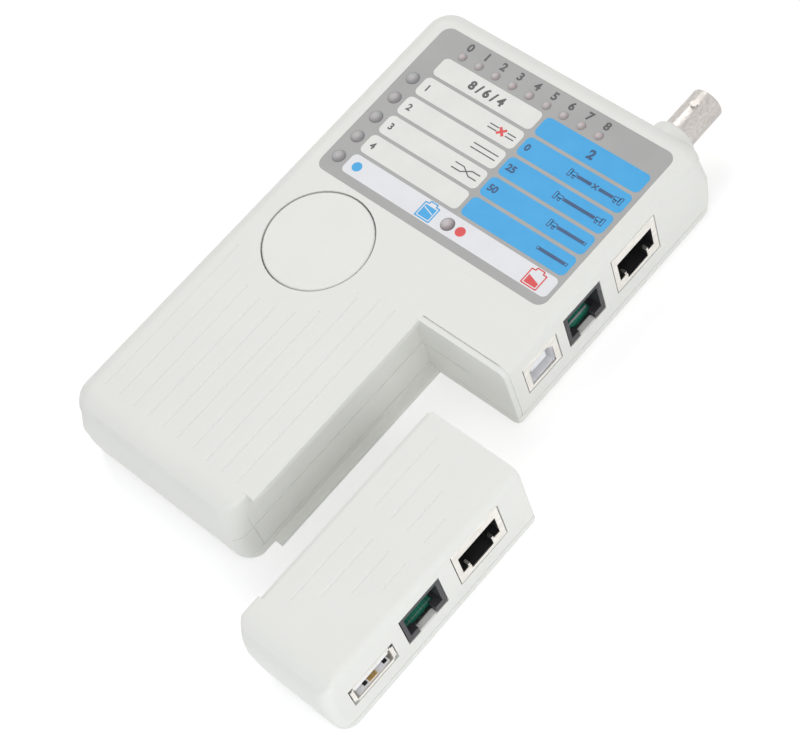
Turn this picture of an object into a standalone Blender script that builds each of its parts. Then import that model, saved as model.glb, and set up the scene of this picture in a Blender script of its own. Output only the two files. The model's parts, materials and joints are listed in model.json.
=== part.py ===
"""Network cable tester: a main unit with an L-shaped case, and a remote unit that docks in its corner.

The main unit lies face up: X runs across it towards the sockets, Y along it to the coaxial socket, Z up.
Sizes are in millimetres, measured from the main unit's lower left corner; the finished solids are in metres,
with their origin under the middle of the main unit.
"""

import math

import bmesh
import bpy

MM = 0.001

# The main unit's case
CASE_WIDTH = 86.6
CASE_HEIGHT = 25.0
GRIP_WIDTH = 57.5
GRIP_PAST_BATTERY = 15.0
HEAD_LENGTH = 77.1
GRIP_CORNER = (4.6, 4.0, 7.0)
HEAD_CORNER = (5.6, 2.6, 5.2)
END_BULGE = 1.1
EDGE_RADIUS = 1.0
SIDE_FILLET = 4.5
END_FILLET = 6.0
TOP_FILLET = 4.4
SOCKET_FILLET = 3.0
GRIP_FILLET = 1.2
BASE_FILLET = 1.6
WALL = 2.0
FLOOR = 1.8
SPLIT = 3.2
SEAM = 0.3
GAP = 0.3

# The lip and the rail along the grip's side, which hold the docked remote
LIP_START = 8.2
LIP_OVERHANG = 2.0
LIP_THICKNESS = 1.9
LIP_FILLET = 0.4
RAIL_OVERHANG = 2.5
RAIL_THICKNESS = 1.3

# The remote unit
REMOTE_WIDTH = 27.3
REMOTE_LENGTH = 68.0
REMOTE_AWAY = (19.1, -16.5)
TONGUE_REACH = 1.95
TONGUE_START = 8.95
REMOTE_CORNER = (4.2, 2.6, 3.6)
REMOTE_FILLET = 2.2

# Boards
BOARD_THICKNESS = 1.6
HEADROOM = 0.9
BOARD_EDGE = 1.6
BOARD_CORNER = 3.0
DISPLAY_BELOW_TOP = 6.8
DISPLAY_MARGIN = 3.0
LINK_SIZE = (20.0, 2.5)
LINK_INSET = (16.0, 12.0)
DISPLAY_POST_INSET = (24.0, 10.0)

# Sockets: each one's width, height above its seat and depth, and how far from the step or the end it starts
ETHERNET = (16.1, 13.6, 18.5)
PHONE = (13.2, 11.8, 15.0)
USB_B = (12.1, 10.4, 16.0)
USB_A = (13.1, 5.9, 14.0)
ETHERNET_FROM_STEP = 39.8
PHONE_FROM_STEP = 21.4
USB_B_FROM_STEP = 5.8
REMOTE_ETHERNET_START = 42.8
REMOTE_PHONE_START = 24.4
REMOTE_USB_START = 6.4
USB_A_LIFT = 0.9
USB_A_FLARE = 0.7
SOCKET_SETBACK = 0.1
SHEET = 0.4

# Coaxial socket
COAX_FROM_SIDE = 13.0
COAX_BELOW_TOP = 9.0
COAX_RADIUS = 4.45
COAX_BORE = 3.85
COAX_REACH = 16.0
COLLAR_RADIUS = 6.1
COLLAR_REACH = 3.2
LUG_RADIUS = 0.95
LUG_HEIGHT = 0.75
LUG_FROM_END = 5.1

# Test button
BUTTON_X = 23.1
BUTTON_PAST_STEP = 2.8
BUTTON_RADIUS = 14.5
BUTTON_GROOVE = 0.35
BUTTON_PROUD = 0.1
BUTTON_TRAVEL = 1.0

# Label panel and lamps
LABEL_LEFT = 6.6
LABEL_RIGHT = 4.4
LABEL_BELOW = 1.9
LABEL_ABOVE = 5.7
LABEL_RADIUS = 2.8
LABEL_RECESS = 0.55
LABEL_THICKNESS = 0.35
PIN_LAMP_INSET = (10.1, 5.8)
PIN_LAMP_FROM_RIGHT = 20.14
PIN_LAMPS = 9
PIN_LAMP_RADIUS = 1.25
STATE_LAMP_INSET = (3.5, 5.5)
STATE_LAMP_PITCH = 7.2
STATE_LAMPS = 5
LOW_LAMP_INSET = 40.8
STATE_LAMP_RADIUS = 1.85
LAMP_PROUD = 0.5

# Battery bay in the floor
BATTERY_SIZE = (26.5, 46.4, 17.5)
BATTERY_Y = 5.8
BATTERY_Z = 2.5
BAY_CLEARANCE = 0.5
BAY_WALL = 1.2
BAY_HEIGHT = 10.0
TERMINAL_REACH = 2.0
SNAP_THICKNESS = 3.6
COVER_THICKNESS = 1.5

# Screws
SCREW_HEAD = 2.2
SCREW_SHANK = 1.15
SCREW_TIP = 15.0
SCREW_SINK = 0.5
HEAD_THICKNESS = 1.5
BOSS_RADIUS = 3.2
SCREW_INSET = 7.6
SCREW_FROM_TOP = 6.1
SCREW_FROM_COAX = 14.1
REMOTE_SCREW_INSET = (5.9, 8.2)
REMOTE_SCREW_FROM_TOP = 6.6
POST_INSET = (12.0, 5.2)
POST_RADIUS = 2.2

# Grip grooves
GROOVE_WIDTH = 0.8
GROOVE_DEPTH = 0.14
GROOVE_PITCH = 5.15
GROOVE_FIRST = 6.6
GROOVES = 10
GROOVE_LOW = 9.0
GROOVE_FROM_STEP = 1.2
GROOVE_CLEAR = 6.2
REMOTE_GROOVE_FIRST = 5.3
REMOTE_GROOVES = 4
REMOTE_GROOVE_REACH = 4.9
REMOTE_GROOVE_LOW = 12.6
REMOTE_GROOVE_FROM_TOP = 4.4
REMOTE_GROOVE_MIDDLE = (35.1, 41.6)
SEAM_DEPTH = 0.2
CATCH_Y = 5.3
CATCH_TOP = 17.5

CORNER_STEPS = 6
GRIP_LENGTH = BATTERY_Y + BATTERY_SIZE[1] + GRIP_PAST_BATTERY
HEAD_START = GRIP_LENGTH
CASE_LENGTH = GRIP_LENGTH + HEAD_LENGTH
SEAM_LOW = SPLIT - SEAM / 2
SEAM_HIGH = SPLIT + SEAM / 2
MIDDLE = CASE_HEIGHT / 2
CEILING = CASE_HEIGHT - WALL
SEAT = CEILING - HEADROOM - ETHERNET[1]
BOARD_TOP = SEAT - GAP
BOARD_UNDERSIDE = BOARD_TOP - BOARD_THICKNESS
DISPLAY_TOP = CASE_HEIGHT - DISPLAY_BELOW_TOP
DISPLAY_UNDERSIDE = DISPLAY_TOP - BOARD_THICKNESS
ETHERNET_START = HEAD_START + ETHERNET_FROM_STEP
PHONE_START = HEAD_START + PHONE_FROM_STEP
USB_B_START = HEAD_START + USB_B_FROM_STEP
COAX_X = CASE_WIDTH - COAX_FROM_SIDE
COAX_Z = CASE_HEIGHT - COAX_BELOW_TOP
BUTTON_Y = HEAD_START + BUTTON_PAST_STEP
LABEL_X = (LABEL_LEFT, CASE_WIDTH - LABEL_RIGHT)
LABEL_Y = (BUTTON_Y + BUTTON_RADIUS + LABEL_BELOW, CASE_LENGTH - LABEL_ABOVE)
PIN_LAMP_X = LABEL_X[0] + PIN_LAMP_INSET[0]
PIN_LAMP_PITCH = (LABEL_X[1] - PIN_LAMP_FROM_RIGHT - PIN_LAMP_X) / (PIN_LAMPS - 1)
PIN_LAMP_Y = LABEL_Y[1] - PIN_LAMP_INSET[1]
STATE_LAMP_X = LABEL_X[0] + STATE_LAMP_INSET[0]
STATE_LAMP_Y = LABEL_Y[0] + STATE_LAMP_INSET[1]
LOW_LAMP_X = LABEL_X[0] + LOW_LAMP_INSET
DISPLAY_X = (LABEL_X[0], CASE_WIDTH - SOCKET_SETBACK - ETHERNET[2] - DISPLAY_MARGIN)
DISPLAY_Y = (LABEL_Y[0] + STATE_LAMP_RADIUS, PIN_LAMP_Y + STATE_LAMP_RADIUS)
BATTERY_X = (GRIP_WIDTH - BATTERY_SIZE[0]) / 2
BATTERY_END = BATTERY_Y + BATTERY_SIZE[1]
SNAP_END = BATTERY_END + GAP + SNAP_THICKNESS
BAY_X = (BATTERY_X - BAY_CLEARANCE, BATTERY_X + BATTERY_SIZE[0] + BAY_CLEARANCE)
BAY_Y = (BATTERY_Y - BAY_CLEARANCE, SNAP_END + BAY_CLEARANCE)
TERMINAL_Z = BATTERY_Z + 8.0
TERMINALS = ((BATTERY_X + BATTERY_SIZE[0] / 2 - 6.35, 2.9), (BATTERY_X + BATTERY_SIZE[0] / 2 + 6.35, 3.9))
SWITCH_TOP = SEAT + 5.0
CASE_SCREWS = (
    (SCREW_INSET, SCREW_INSET),
    (GRIP_WIDTH - SCREW_INSET, SCREW_INSET),
    (SCREW_INSET, CASE_LENGTH - SCREW_FROM_TOP),
    (COAX_X - SCREW_FROM_COAX, CASE_LENGTH - SCREW_FROM_TOP),
)
REMOTE_SCREWS = (REMOTE_SCREW_INSET, (REMOTE_SCREW_INSET[0], REMOTE_LENGTH - REMOTE_SCREW_FROM_TOP))
BOARD_POSTS = tuple((x, HEAD_START - POST_INSET[1]) for x in (POST_INSET[0], GRIP_WIDTH - POST_INSET[0]))
DISPLAY_POST_X = (DISPLAY_X[0] + DISPLAY_POST_INSET[0], DISPLAY_X[1] - DISPLAY_POST_INSET[1])
DISPLAY_POSTS = tuple((x, (LABEL_Y[0] + LABEL_Y[1]) / 2) for x in DISPLAY_POST_X)
LIP_UNDERSIDE = CASE_HEIGHT - LIP_THICKNESS
ORIGIN = (CASE_WIDTH / 2, CASE_LENGTH / 2, 0.0)
DOCKED = (GRIP_WIDTH + LIP_OVERHANG + GAP, HEAD_START - GAP - REMOTE_LENGTH)
REMOTE_AT = (DOCKED[0] + REMOTE_AWAY[0], DOCKED[1] + REMOTE_AWAY[1], 0.0)

COLOURS = {
    "shell": ((0.80, 0.80, 0.76), 0.42, 0.0),
    "label": ((0.43, 0.43, 0.42), 0.35, 0.0),
    "lamp": ((0.42, 0.37, 0.38), 0.20, 0.0),
    "board": ((0.01, 0.12, 0.06), 0.45, 0.0),
    "black": ((0.015, 0.015, 0.017), 0.45, 0.0),
    "grey": ((0.08, 0.08, 0.085), 0.45, 0.0),
    "white": ((0.78, 0.78, 0.80), 0.35, 0.0),
    "tin": ((0.75, 0.73, 0.68), 0.25, 1.0),
    "nickel": ((0.48, 0.45, 0.42), 0.30, 1.0),
    "gold": ((0.80, 0.58, 0.25), 0.25, 1.0),
    "steel": ((0.45, 0.45, 0.46), 0.35, 1.0),
    "battery": ((0.05, 0.05, 0.06), 0.40, 0.2),
}


def material(name, look):
    """A material of its own for one sub-part."""
    colour, roughness, metallic = COLOURS[look]
    made = bpy.data.materials.new(name)
    made.use_nodes = True
    shader = made.node_tree.nodes["Principled BSDF"]
    shader.inputs["Base Color"].default_value = (*colour, 1.0)
    shader.inputs["Roughness"].default_value = roughness
    shader.inputs["Metallic"].default_value = metallic
    return made


def skin(rings, closed=False):
    """A mesh through rings of points of one count, with its ends capped unless it closes on itself."""
    made = bmesh.new()
    rows = [[made.verts.new(point) for point in ring] for ring in rings]
    pairs = list(zip(rows, rows[1:]))
    if closed:
        pairs.append((rows[-1], rows[0]))
    else:
        made.faces.new(rows[0])
        made.faces.new(rows[-1])
    for low, high in pairs:
        for i in range(len(low)):
            j = (i + 1) % len(low)
            made.faces.new((low[i], low[j], high[j], high[i]))
    bmesh.ops.remove_doubles(made, verts=made.verts[:], dist=1e-4)
    bmesh.ops.dissolve_degenerate(made, edges=made.edges[:], dist=1e-4)
    bmesh.ops.recalc_face_normals(made, faces=made.faces[:])
    return made


def along(axis, u, v, w):
    """The point that lies at u, v across the axis and w along it."""
    return {"x": (w, u, v), "y": (u, w, v), "z": (u, v, w)}[axis]


def prism(outline, low, high, axis="z"):
    return skin([[along(axis, u, v, w) for u, v in outline] for w in (low, high)])


def box(x, y, z):
    """A box from three (low, high) spans."""
    outline = [(x[0], y[0]), (x[1], y[0]), (x[1], y[1]), (x[0], y[1])]
    return prism(outline, *z)


def circle(u, v, radius, steps):
    turns = [2 * math.pi * i / steps for i in range(steps)]
    return [(u + radius * math.cos(turn), v + radius * math.sin(turn)) for turn in turns]


def cylinder(u, v, radius, low, high, axis="z", steps=16):
    return prism(circle(u, v, radius, steps), low, high, axis)


def turned(profile, u, v, axis="z", steps=16, closed=False):
    """A turned solid from its (radius, height) profile."""
    rings = []
    for radius, height in profile:
        rings.append([along(axis, a, b, height) for a, b in circle(u, v, radius, steps)])
    return skin(rings, closed)


def arc(x, y, radius, quadrant, steps=CORNER_STEPS):
    """The round corner at x, y; quadrant 0 is the corner towards +X and +Y, and they go round from there."""
    start = quadrant * math.pi / 2
    middle = start + math.pi / 4
    centre_x = x - math.copysign(radius, math.cos(middle))
    centre_y = y - math.copysign(radius, math.sin(middle))
    turns = [start + math.pi / 2 * i / steps for i in range(steps + 1)]
    return [(centre_x + radius * math.cos(turn), centre_y + radius * math.sin(turn)) for turn in turns]


def rounded(x, y, radius, steps=3):
    """A rectangle with round corners."""
    return (
        arc(x[0], y[0], radius, 2, steps)
        + arc(x[1], y[0], radius, 3, steps)
        + arc(x[1], y[1], radius, 0, steps)
        + arc(x[0], y[1], radius, 1, steps)
    )


def solid(name, mesh, look, at=(0.0, 0.0, 0.0), pivot=(0.0, 0.0, 0.0), sharp=35):
    """An object from a mesh in millimetres, with its origin at the pivot."""
    for vertex in mesh.verts:
        for i in range(3):
            vertex.co[i] = (vertex.co[i] - pivot[i]) * MM
    data = bpy.data.meshes.new(name)
    mesh.to_mesh(data)
    mesh.free()
    data.shade_smooth()
    data.set_sharp_from_angle(angle=math.radians(sharp))
    data.materials.append(material(name, look))
    made = bpy.data.objects.new(name, data)
    made.location = [(at[i] + pivot[i] - ORIGIN[i]) * MM for i in range(3)]
    bpy.context.scene.collection.objects.link(made)
    return made


def combine(target, meshes, operation, at=(0.0, 0.0, 0.0)):
    """Joins meshes to a solid, or cuts them from it, with one Boolean; the meshes don't touch each other."""
    whole = bmesh.new()
    for mesh in meshes:
        piece = bpy.data.meshes.new("piece")
        mesh.to_mesh(piece)
        mesh.free()
        whole.from_mesh(piece)
        bpy.data.meshes.remove(piece)
    tool = solid("tool", whole, "steel", at)
    tool.hide_render = True
    tool.display_type = "WIRE"
    modifier = target.modifiers.new("shape", "BOOLEAN")
    modifier.operation = operation
    modifier.object = tool
    graph = bpy.context.evaluated_depsgraph_get()
    graph.update()
    shaped = bpy.data.meshes.new_from_object(target.evaluated_get(graph))
    target.modifiers.clear()
    old = target.data
    target.data = shaped
    bpy.data.meshes.remove(old)
    tool_mesh = tool.data
    bpy.data.objects.remove(tool)
    bpy.data.meshes.remove(tool_mesh)
    while len(shaped.materials) > 1:
        shaped.materials.pop()
    shaped.shade_smooth()
    shaped.set_sharp_from_angle(angle=math.radians(35))
    return target


def cut(target, meshes, at=(0.0, 0.0, 0.0)):
    return combine(target, meshes, "DIFFERENCE", at)


def join(target, meshes, at=(0.0, 0.0, 0.0)):
    return combine(target, meshes, "UNION", at)


def lean(height, fillet, wall=0.0):
    """How far a side with a fillet at its top lies in from its outer plane, at a height, wall deep."""
    inner = max(fillet - wall, 0.0)
    over = min(max(height - (CASE_HEIGHT - fillet), 0.0), inner)
    under = BASE_FILLET - height if wall == 0.0 else 0.0
    if under > 0.0:
        return BASE_FILLET - math.sqrt(BASE_FILLET**2 - under**2)
    return wall + inner - math.sqrt(inner**2 - over**2)


def end_plane(height, wall=0.0, swell_top=CASE_HEIGHT - END_FILLET):
    """Where the end wall lies at a height, wall deep; it swells outwards from the floor to swell_top."""
    swell = END_BULGE * math.sin(math.pi * min(height / swell_top, 1.0))
    return lean(height, END_FILLET, wall) - swell


def corner_radius(radii, height, inset=0.0):
    """A corner's radius at a height, from those at floor, mid height and top, less an inset."""
    floor, middle, top = radii
    below = min(max(1.0 - height / MIDDLE, 0.0), 1.0)
    above = min(max((height - MIDDLE) / (MIDDLE - END_FILLET), 0.0), 1.0)
    radius = middle + (floor - middle) * below**2 + (top - middle) * above
    return max(radius - max(inset, 0.0), 0.8)


def case_outline(height, ledge=0.0, wall=0.0, shrink=0.0):
    """The main unit's outline at a height, wall deep, with its lip or rail standing out by ledge."""
    left = lean(height, SIDE_FILLET, wall) + shrink
    end = end_plane(height, wall) + shrink
    top = CASE_LENGTH - lean(height, TOP_FILLET, wall) - shrink
    grip = GRIP_WIDTH - lean(max(height, BASE_FILLET), GRIP_FILLET, wall) - shrink
    right = CASE_WIDTH - lean(height, SOCKET_FILLET, wall) - shrink
    step = HEAD_START + wall + shrink
    edge = GRIP_WIDTH + ledge if ledge else grip
    return (
        arc(left, end, corner_radius(GRIP_CORNER, height, max(left, end)), 2)
        + arc(grip, end, corner_radius(GRIP_CORNER, height, end), 3)
        + [(grip, LIP_START), (edge, LIP_START), (edge, step)]
        + arc(right, step, EDGE_RADIUS, 3, 2)
        + arc(right, top, corner_radius(HEAD_CORNER, height, CASE_LENGTH - top), 0)
        + arc(left, top, corner_radius(GRIP_CORNER, height, CASE_LENGTH - top), 1)
    )


def remote_outline(height, left, notch=0.0, wall=0.0, shrink=0.0):
    """The remote's outline at a height; its left side stands at left, or at notch past the tongue's start."""
    end = end_plane(height, wall, CASE_HEIGHT) + shrink
    right = REMOTE_WIDTH - lean(height, REMOTE_FILLET, wall) - shrink
    top = REMOTE_LENGTH - wall - shrink
    return (
        arc(left, end, corner_radius(REMOTE_CORNER, height, end), 2)
        + arc(right, end, corner_radius(REMOTE_CORNER, height, end), 3)
        + arc(right, top, EDGE_RADIUS, 0, 2)
        + [(notch, top), (notch, TONGUE_START), (left, TONGUE_START)]
    )


def lift(outline, height):
    return [(x, y, height) for x, y in outline]


def fillet_heights(low, high, fillet, turns):
    """Heights round a fillet that ends at high, after one at low."""
    return [low] + [high - fillet * (1 - math.sin(math.radians(turn))) for turn in turns]


def swell_heights(low, high):
    """Heights between two others at which the end wall's swell gets a ring."""
    heights = [CASE_HEIGHT * share for share in (0.25, 0.5, 0.64)]
    return [height for height in heights if low < height < high]


def outer_heights():
    """Heights of a top shell's outer rings, from the seam to the top face."""
    heights = fillet_heights(SEAM_HIGH, CASE_HEIGHT, END_FILLET, (0, 20, 40, 55, 70, 90))
    return sorted(heights + swell_heights(SEAM_HIGH, CASE_HEIGHT - END_FILLET))


def base_heights():
    """Heights round the fillet at the base, from the floor up."""
    return [BASE_FILLET * (1 - math.cos(math.radians(turn))) for turn in (0, 30, 60, 90)]


def case_rings_below():
    """The main unit's outer rings from the floor to the seam, with the rail at the bottom."""
    heights = base_heights()
    under = [height for height in heights if height < RAIL_THICKNESS] + [RAIL_THICKNESS]
    over = [RAIL_THICKNESS] + [height for height in heights if height > RAIL_THICKNESS] + [SEAM_LOW]
    rings = [lift(case_outline(height, RAIL_OVERHANG), height) for height in under]
    return rings + [lift(case_outline(height), height) for height in over]


def case_rings_above():
    """The main unit's outer rings from the seam to the top face, with the lip near the top."""
    heights = outer_heights()
    below = [height for height in heights if height < LIP_UNDERSIDE] + [LIP_UNDERSIDE]
    above = [LIP_UNDERSIDE] + [height for height in heights if height > LIP_UNDERSIDE]
    rings = [lift(case_outline(height), height) for height in below]
    for height in above:
        ledge = LIP_OVERHANG - (LIP_FILLET if height == CASE_HEIGHT else 0.0)
        rings.append(lift(case_outline(height, ledge), height))
    return rings


def hollow_rings(outline_at):
    """Inner rings of a top shell, from its ceiling down to the seam."""
    heights = fillet_heights(SEAM_HIGH, CEILING, END_FILLET - WALL, (0, 30, 60, 90))
    return [lift(outline_at(height), height) for height in reversed(heights)]


def tray_rings(outline_at):
    """Inner rings of a bottom shell: the seam's face, the rim that locates the top shell, and the floor."""
    rim_out = WALL + GAP
    rim_in = rim_out + 0.9
    rim_top = SEAM_HIGH + 1.5
    steps = ((rim_out, SEAM_LOW), (rim_out, rim_top), (rim_in, rim_top), (rim_in, FLOOR))
    return [lift(outline_at(inset), height) for inset, height in steps]


def boss(place, low, high, radius=BOSS_RADIUS):
    return cylinder(*place, radius, low, high)


def grip_grooves():
    """V-grooves along the grip, whose upper ends follow the button's edge."""
    made = []
    clear = BUTTON_RADIUS + GROOVE_CLEAR
    for i in range(GROOVES):
        x = GROOVE_FIRST + i * GROOVE_PITCH
        beside = abs(x - BUTTON_X)
        high = BUTTON_Y - math.sqrt(max(clear**2 - beside**2, 0.0))
        high = min(high, HEAD_START - GROOVE_FROM_STEP)
        made.append(groove(x, GROOVE_LOW, high))
    return made


def groove(x, low, high):
    above = CASE_HEIGHT + GROOVE_DEPTH
    outline = [(x - GROOVE_WIDTH, above), (x, CASE_HEIGHT - GROOVE_DEPTH), (x + GROOVE_WIDTH, above)]
    return prism(outline, low, high, "y")


def remote_grooves():
    """Two groups of V-grooves that get shorter towards the sockets."""
    made = []
    for i in range(REMOTE_GROOVES):
        x = REMOTE_GROOVE_FIRST + i * GROOVE_PITCH
        reach = i * REMOTE_GROOVE_REACH
        made.append(groove(x, REMOTE_GROOVE_LOW + reach, REMOTE_GROOVE_MIDDLE[0]))
        made.append(groove(x, REMOTE_GROOVE_MIDDLE[1], REMOTE_LENGTH - REMOTE_GROOVE_FROM_TOP - reach))
    return made


def head_groove():
    """The shadow line across the head's top and down its socket side, just behind the step."""
    deep = 0.2
    centre_x = CASE_WIDTH - SOCKET_FILLET
    centre_z = CASE_HEIGHT - SOCKET_FILLET
    radius = SOCKET_FILLET - deep
    start_x = GRIP_WIDTH + 2.3
    outside = CASE_WIDTH + 1
    outline = [(start_x, CASE_HEIGHT + 1), (outside, CASE_HEIGHT + 1), (outside, SPLIT)]
    outline.append((centre_x + radius, SPLIT))
    for i in range(CORNER_STEPS + 1):
        turn = math.pi / 2 * i / CORNER_STEPS
        outline.append((centre_x + radius * math.cos(turn), centre_z + radius * math.sin(turn)))
    outline.append((start_x, CASE_HEIGHT - deep))
    return prism(outline, HEAD_START + 1.3, HEAD_START + 1.75, "y")


def side_seam():
    """The shallow line round the grip's corner and along its side, and on along the head's inner face."""
    inner = (GRIP_WIDTH - SEAM_DEPTH, HEAD_START + SEAM_DEPTH)
    outer = (GRIP_WIDTH + 1, HEAD_START - 1)
    far = GRIP_WIDTH + 16
    end = end_plane(MIDDLE)
    radius = corner_radius(GRIP_CORNER, MIDDLE)
    low = arc(inner[0], end + SEAM_DEPTH, radius - SEAM_DEPTH, 3)
    around = arc(outer[0], end - 1, radius + 1, 3)
    outline = low[2:] + [inner, (far, inner[1]), (far, outer[1]), outer] + around[:1:-1]
    return prism(outline, MIDDLE, MIDDLE + SEAM)


def catch_line():
    """The short upright line on the grip's side near its end."""
    across = (GRIP_WIDTH - SEAM_DEPTH, GRIP_WIDTH + 1)
    return box(across, (CATCH_Y, CATCH_Y + 0.35), (SPLIT + 0.8, CATCH_TOP))


def lamp_places():
    """Each lamp's name, place and radius."""
    for i in range(PIN_LAMPS):
        yield f"pin_lamp_{i + 1}", PIN_LAMP_X + i * PIN_LAMP_PITCH, PIN_LAMP_Y, PIN_LAMP_RADIUS
    for i in range(STATE_LAMPS):
        yield f"state_lamp_{i + 1}", STATE_LAMP_X, STATE_LAMP_Y + i * STATE_LAMP_PITCH, STATE_LAMP_RADIUS
    yield "low_battery_lamp", LOW_LAMP_X, STATE_LAMP_Y, STATE_LAMP_RADIUS


def lamp_holes(low, high, clearance):
    return [cylinder(x, y, radius + clearance, low, high, steps=12) for _, x, y, radius in lamp_places()]


def socket_window(size, start, lift_up=0.0, width=CASE_WIDTH):
    """A cutter for the hole in a wall that a socket fills."""
    low = SEAT + lift_up
    return box(
        (width - 2 * WALL, width + WALL),
        (start - GAP, start + size[0] + GAP),
        (low - GAP, low + size[1] + GAP),
    )


def make_top_shell():
    rings = hollow_rings(lambda height: case_outline(height, wall=WALL)) + case_rings_above()
    shell = solid("master_top_shell", skin(rings), "shell")
    edge = CASE_LENGTH + COLLAR_REACH
    profile = [(COLLAR_RADIUS, CASE_LENGTH - WALL + 0.4), (COLLAR_RADIUS, edge - 1.2)]
    profile += [(COLLAR_RADIUS - 0.3, edge - 0.4), (COLLAR_RADIUS - 0.8, edge)]
    collar = turned(profile, COAX_X, COAX_Z, "y", 24)
    bosses = [boss(CASE_SCREWS[i], BOARD_UNDERSIDE, CEILING + 0.8) for i in (0, 1)]
    bosses += [boss(CASE_SCREWS[i], SEAT, CEILING + 0.8) for i in (2, 3)]
    posts = [boss(place, DISPLAY_TOP + GAP, CEILING + 0.8, POST_RADIUS) for place in DISPLAY_POSTS]
    join(shell, [collar, *bosses, *posts])
    pilots = [cylinder(*place, SCREW_SHANK + GAP, SPLIT, SCREW_TIP + 1) for place in CASE_SCREWS]
    above = CASE_HEIGHT + 1
    recess = prism(rounded(LABEL_X, LABEL_Y, LABEL_RADIUS, 6), CASE_HEIGHT - LABEL_RECESS, above)
    cut(
        shell,
        [
            recess,
            cylinder(BUTTON_X, BUTTON_Y, BUTTON_RADIUS + BUTTON_GROOVE, CEILING - 2, above, steps=48),
            socket_window(ETHERNET, ETHERNET_START),
            socket_window(PHONE, PHONE_START),
            socket_window(USB_B, USB_B_START),
            cylinder(COAX_X, COAX_Z, COAX_RADIUS + GAP, CASE_LENGTH - 8, edge + 1, "y", 24),
            side_seam(),
            *pilots,
        ],
    )
    cut(shell, [*lamp_holes(CEILING - 1, above, 0.25), *grip_grooves(), head_groove(), catch_line()])
    return shell


def make_bottom_shell():
    rings = case_rings_below() + tray_rings(lambda inset: case_outline(SPLIT, wall=inset))
    shell = solid("master_bottom_shell", skin(rings), "shell")
    frame_x = (BAY_X[0] - BAY_WALL, BAY_X[1] + BAY_WALL)
    frame_y = (BAY_Y[0] - BAY_WALL, BAY_Y[1] + BAY_WALL)
    frame = box(frame_x, frame_y, (1.0, BAY_HEIGHT))
    stands = [boss(place, 1.0, BOARD_UNDERSIDE - GAP) for place in CASE_SCREWS]
    stands += [boss(place, 1.0, BOARD_UNDERSIDE - GAP, POST_RADIUS) for place in BOARD_POSTS]
    join(shell, [frame, *stands])
    holes = [screw_hole(place) for place in CASE_SCREWS]
    cut(shell, [box(BAY_X, BAY_Y, (-1.0, BAY_HEIGHT + 1)), *holes])
    return shell


def screw_hole(place):
    """A stepped hole from below for a screw's head and shank."""
    shoulder = SCREW_SINK + HEAD_THICKNESS + GAP
    head = SCREW_HEAD + GAP
    shank = SCREW_SHANK + 2 * GAP
    profile = [(head, -1.0), (head, shoulder), (shank, shoulder), (shank, SEAT)]
    return turned(profile, *place)


def make_screw(name, place, at=(0.0, 0.0, 0.0)):
    shoulder = SCREW_SINK + HEAD_THICKNESS
    profile = [
        (SCREW_HEAD * 0.85, SCREW_SINK),
        (SCREW_HEAD, SCREW_SINK + 0.3),
        (SCREW_HEAD, shoulder),
        (SCREW_SHANK, shoulder),
        (SCREW_SHANK, SCREW_TIP - 1.2),
        (0.25, SCREW_TIP),
    ]
    made = solid(name, turned(profile, *place), "steel", at)
    x, y = place
    arm = 1.3
    thin = 0.28
    cross = [(arm, -thin), (arm, thin), (thin, thin), (thin, arm), (-thin, arm), (-thin, thin)]
    outline = [(x + u, y + v) for u, v in cross + [(-u, -v) for u, v in cross]]
    return cut(made, [prism(outline, SCREW_SINK - 1, SCREW_SINK + 0.8)], at)


def make_label():
    inset = 0.15
    x = (LABEL_X[0] + inset, LABEL_X[1] - inset)
    y = (LABEL_Y[0] + inset, LABEL_Y[1] - inset)
    low = CASE_HEIGHT - LABEL_RECESS + 0.1
    high = low + LABEL_THICKNESS
    label = solid("label_panel", prism(rounded(x, y, LABEL_RADIUS - inset, 6), low, high), "label")
    return cut(label, lamp_holes(low - 1, high + 1, 0.15))


def make_lamp(name, x, y, radius):
    """A lamp on the display board, with a domed lens through the label."""
    top = CASE_HEIGHT + LAMP_PROUD
    low = DISPLAY_TOP + GAP
    shoulder = top - 0.75 * radius
    profile = [(radius + 0.3, low), (radius + 0.3, low + 0.9), (radius, low + 0.9), (radius, shoulder)]
    for turn in (35, 65):
        drop = 0.75 * radius * math.sin(math.radians(turn))
        profile.append((radius * math.cos(math.radians(turn)), shoulder + drop))
    profile.append((radius * 0.12, top))
    return solid(name, turned(profile, x, y, steps=12), "lamp")


def make_button():
    """The test button: a broad disc in the top face, a flange under it and a stem to the switch."""
    top = CASE_HEIGHT + BUTTON_PROUD
    flange_top = CEILING - GAP
    flange = BUTTON_RADIUS + 1.4
    stem = 2.4
    profile = [
        (stem, SWITCH_TOP + BUTTON_TRAVEL + GAP),
        (stem, flange_top - 1.2),
        (flange, flange_top - 1.2),
        (flange, flange_top),
        (BUTTON_RADIUS, flange_top),
        (BUTTON_RADIUS, top - 0.5),
        (BUTTON_RADIUS - 0.15, top - 0.15),
        (BUTTON_RADIUS - 0.5, top),
    ]
    pivot = (BUTTON_X, BUTTON_Y, top)
    return solid("test_button", turned(profile, BUTTON_X, BUTTON_Y, steps=48), "shell", pivot=pivot)


def make_switch():
    body = box((BUTTON_X - 3, BUTTON_X + 3), (BUTTON_Y - 3, BUTTON_Y + 3), (SEAT, SEAT + 3.5))
    switch = solid("test_switch", body, "black")
    return join(switch, [cylinder(BUTTON_X, BUTTON_Y, 1.7, SEAT + 3.0, SWITCH_TOP)])


def board_holes(places, low, high):
    return [cylinder(*place, SCREW_SHANK + GAP, low - 1, high + 1) for place in places]


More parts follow.
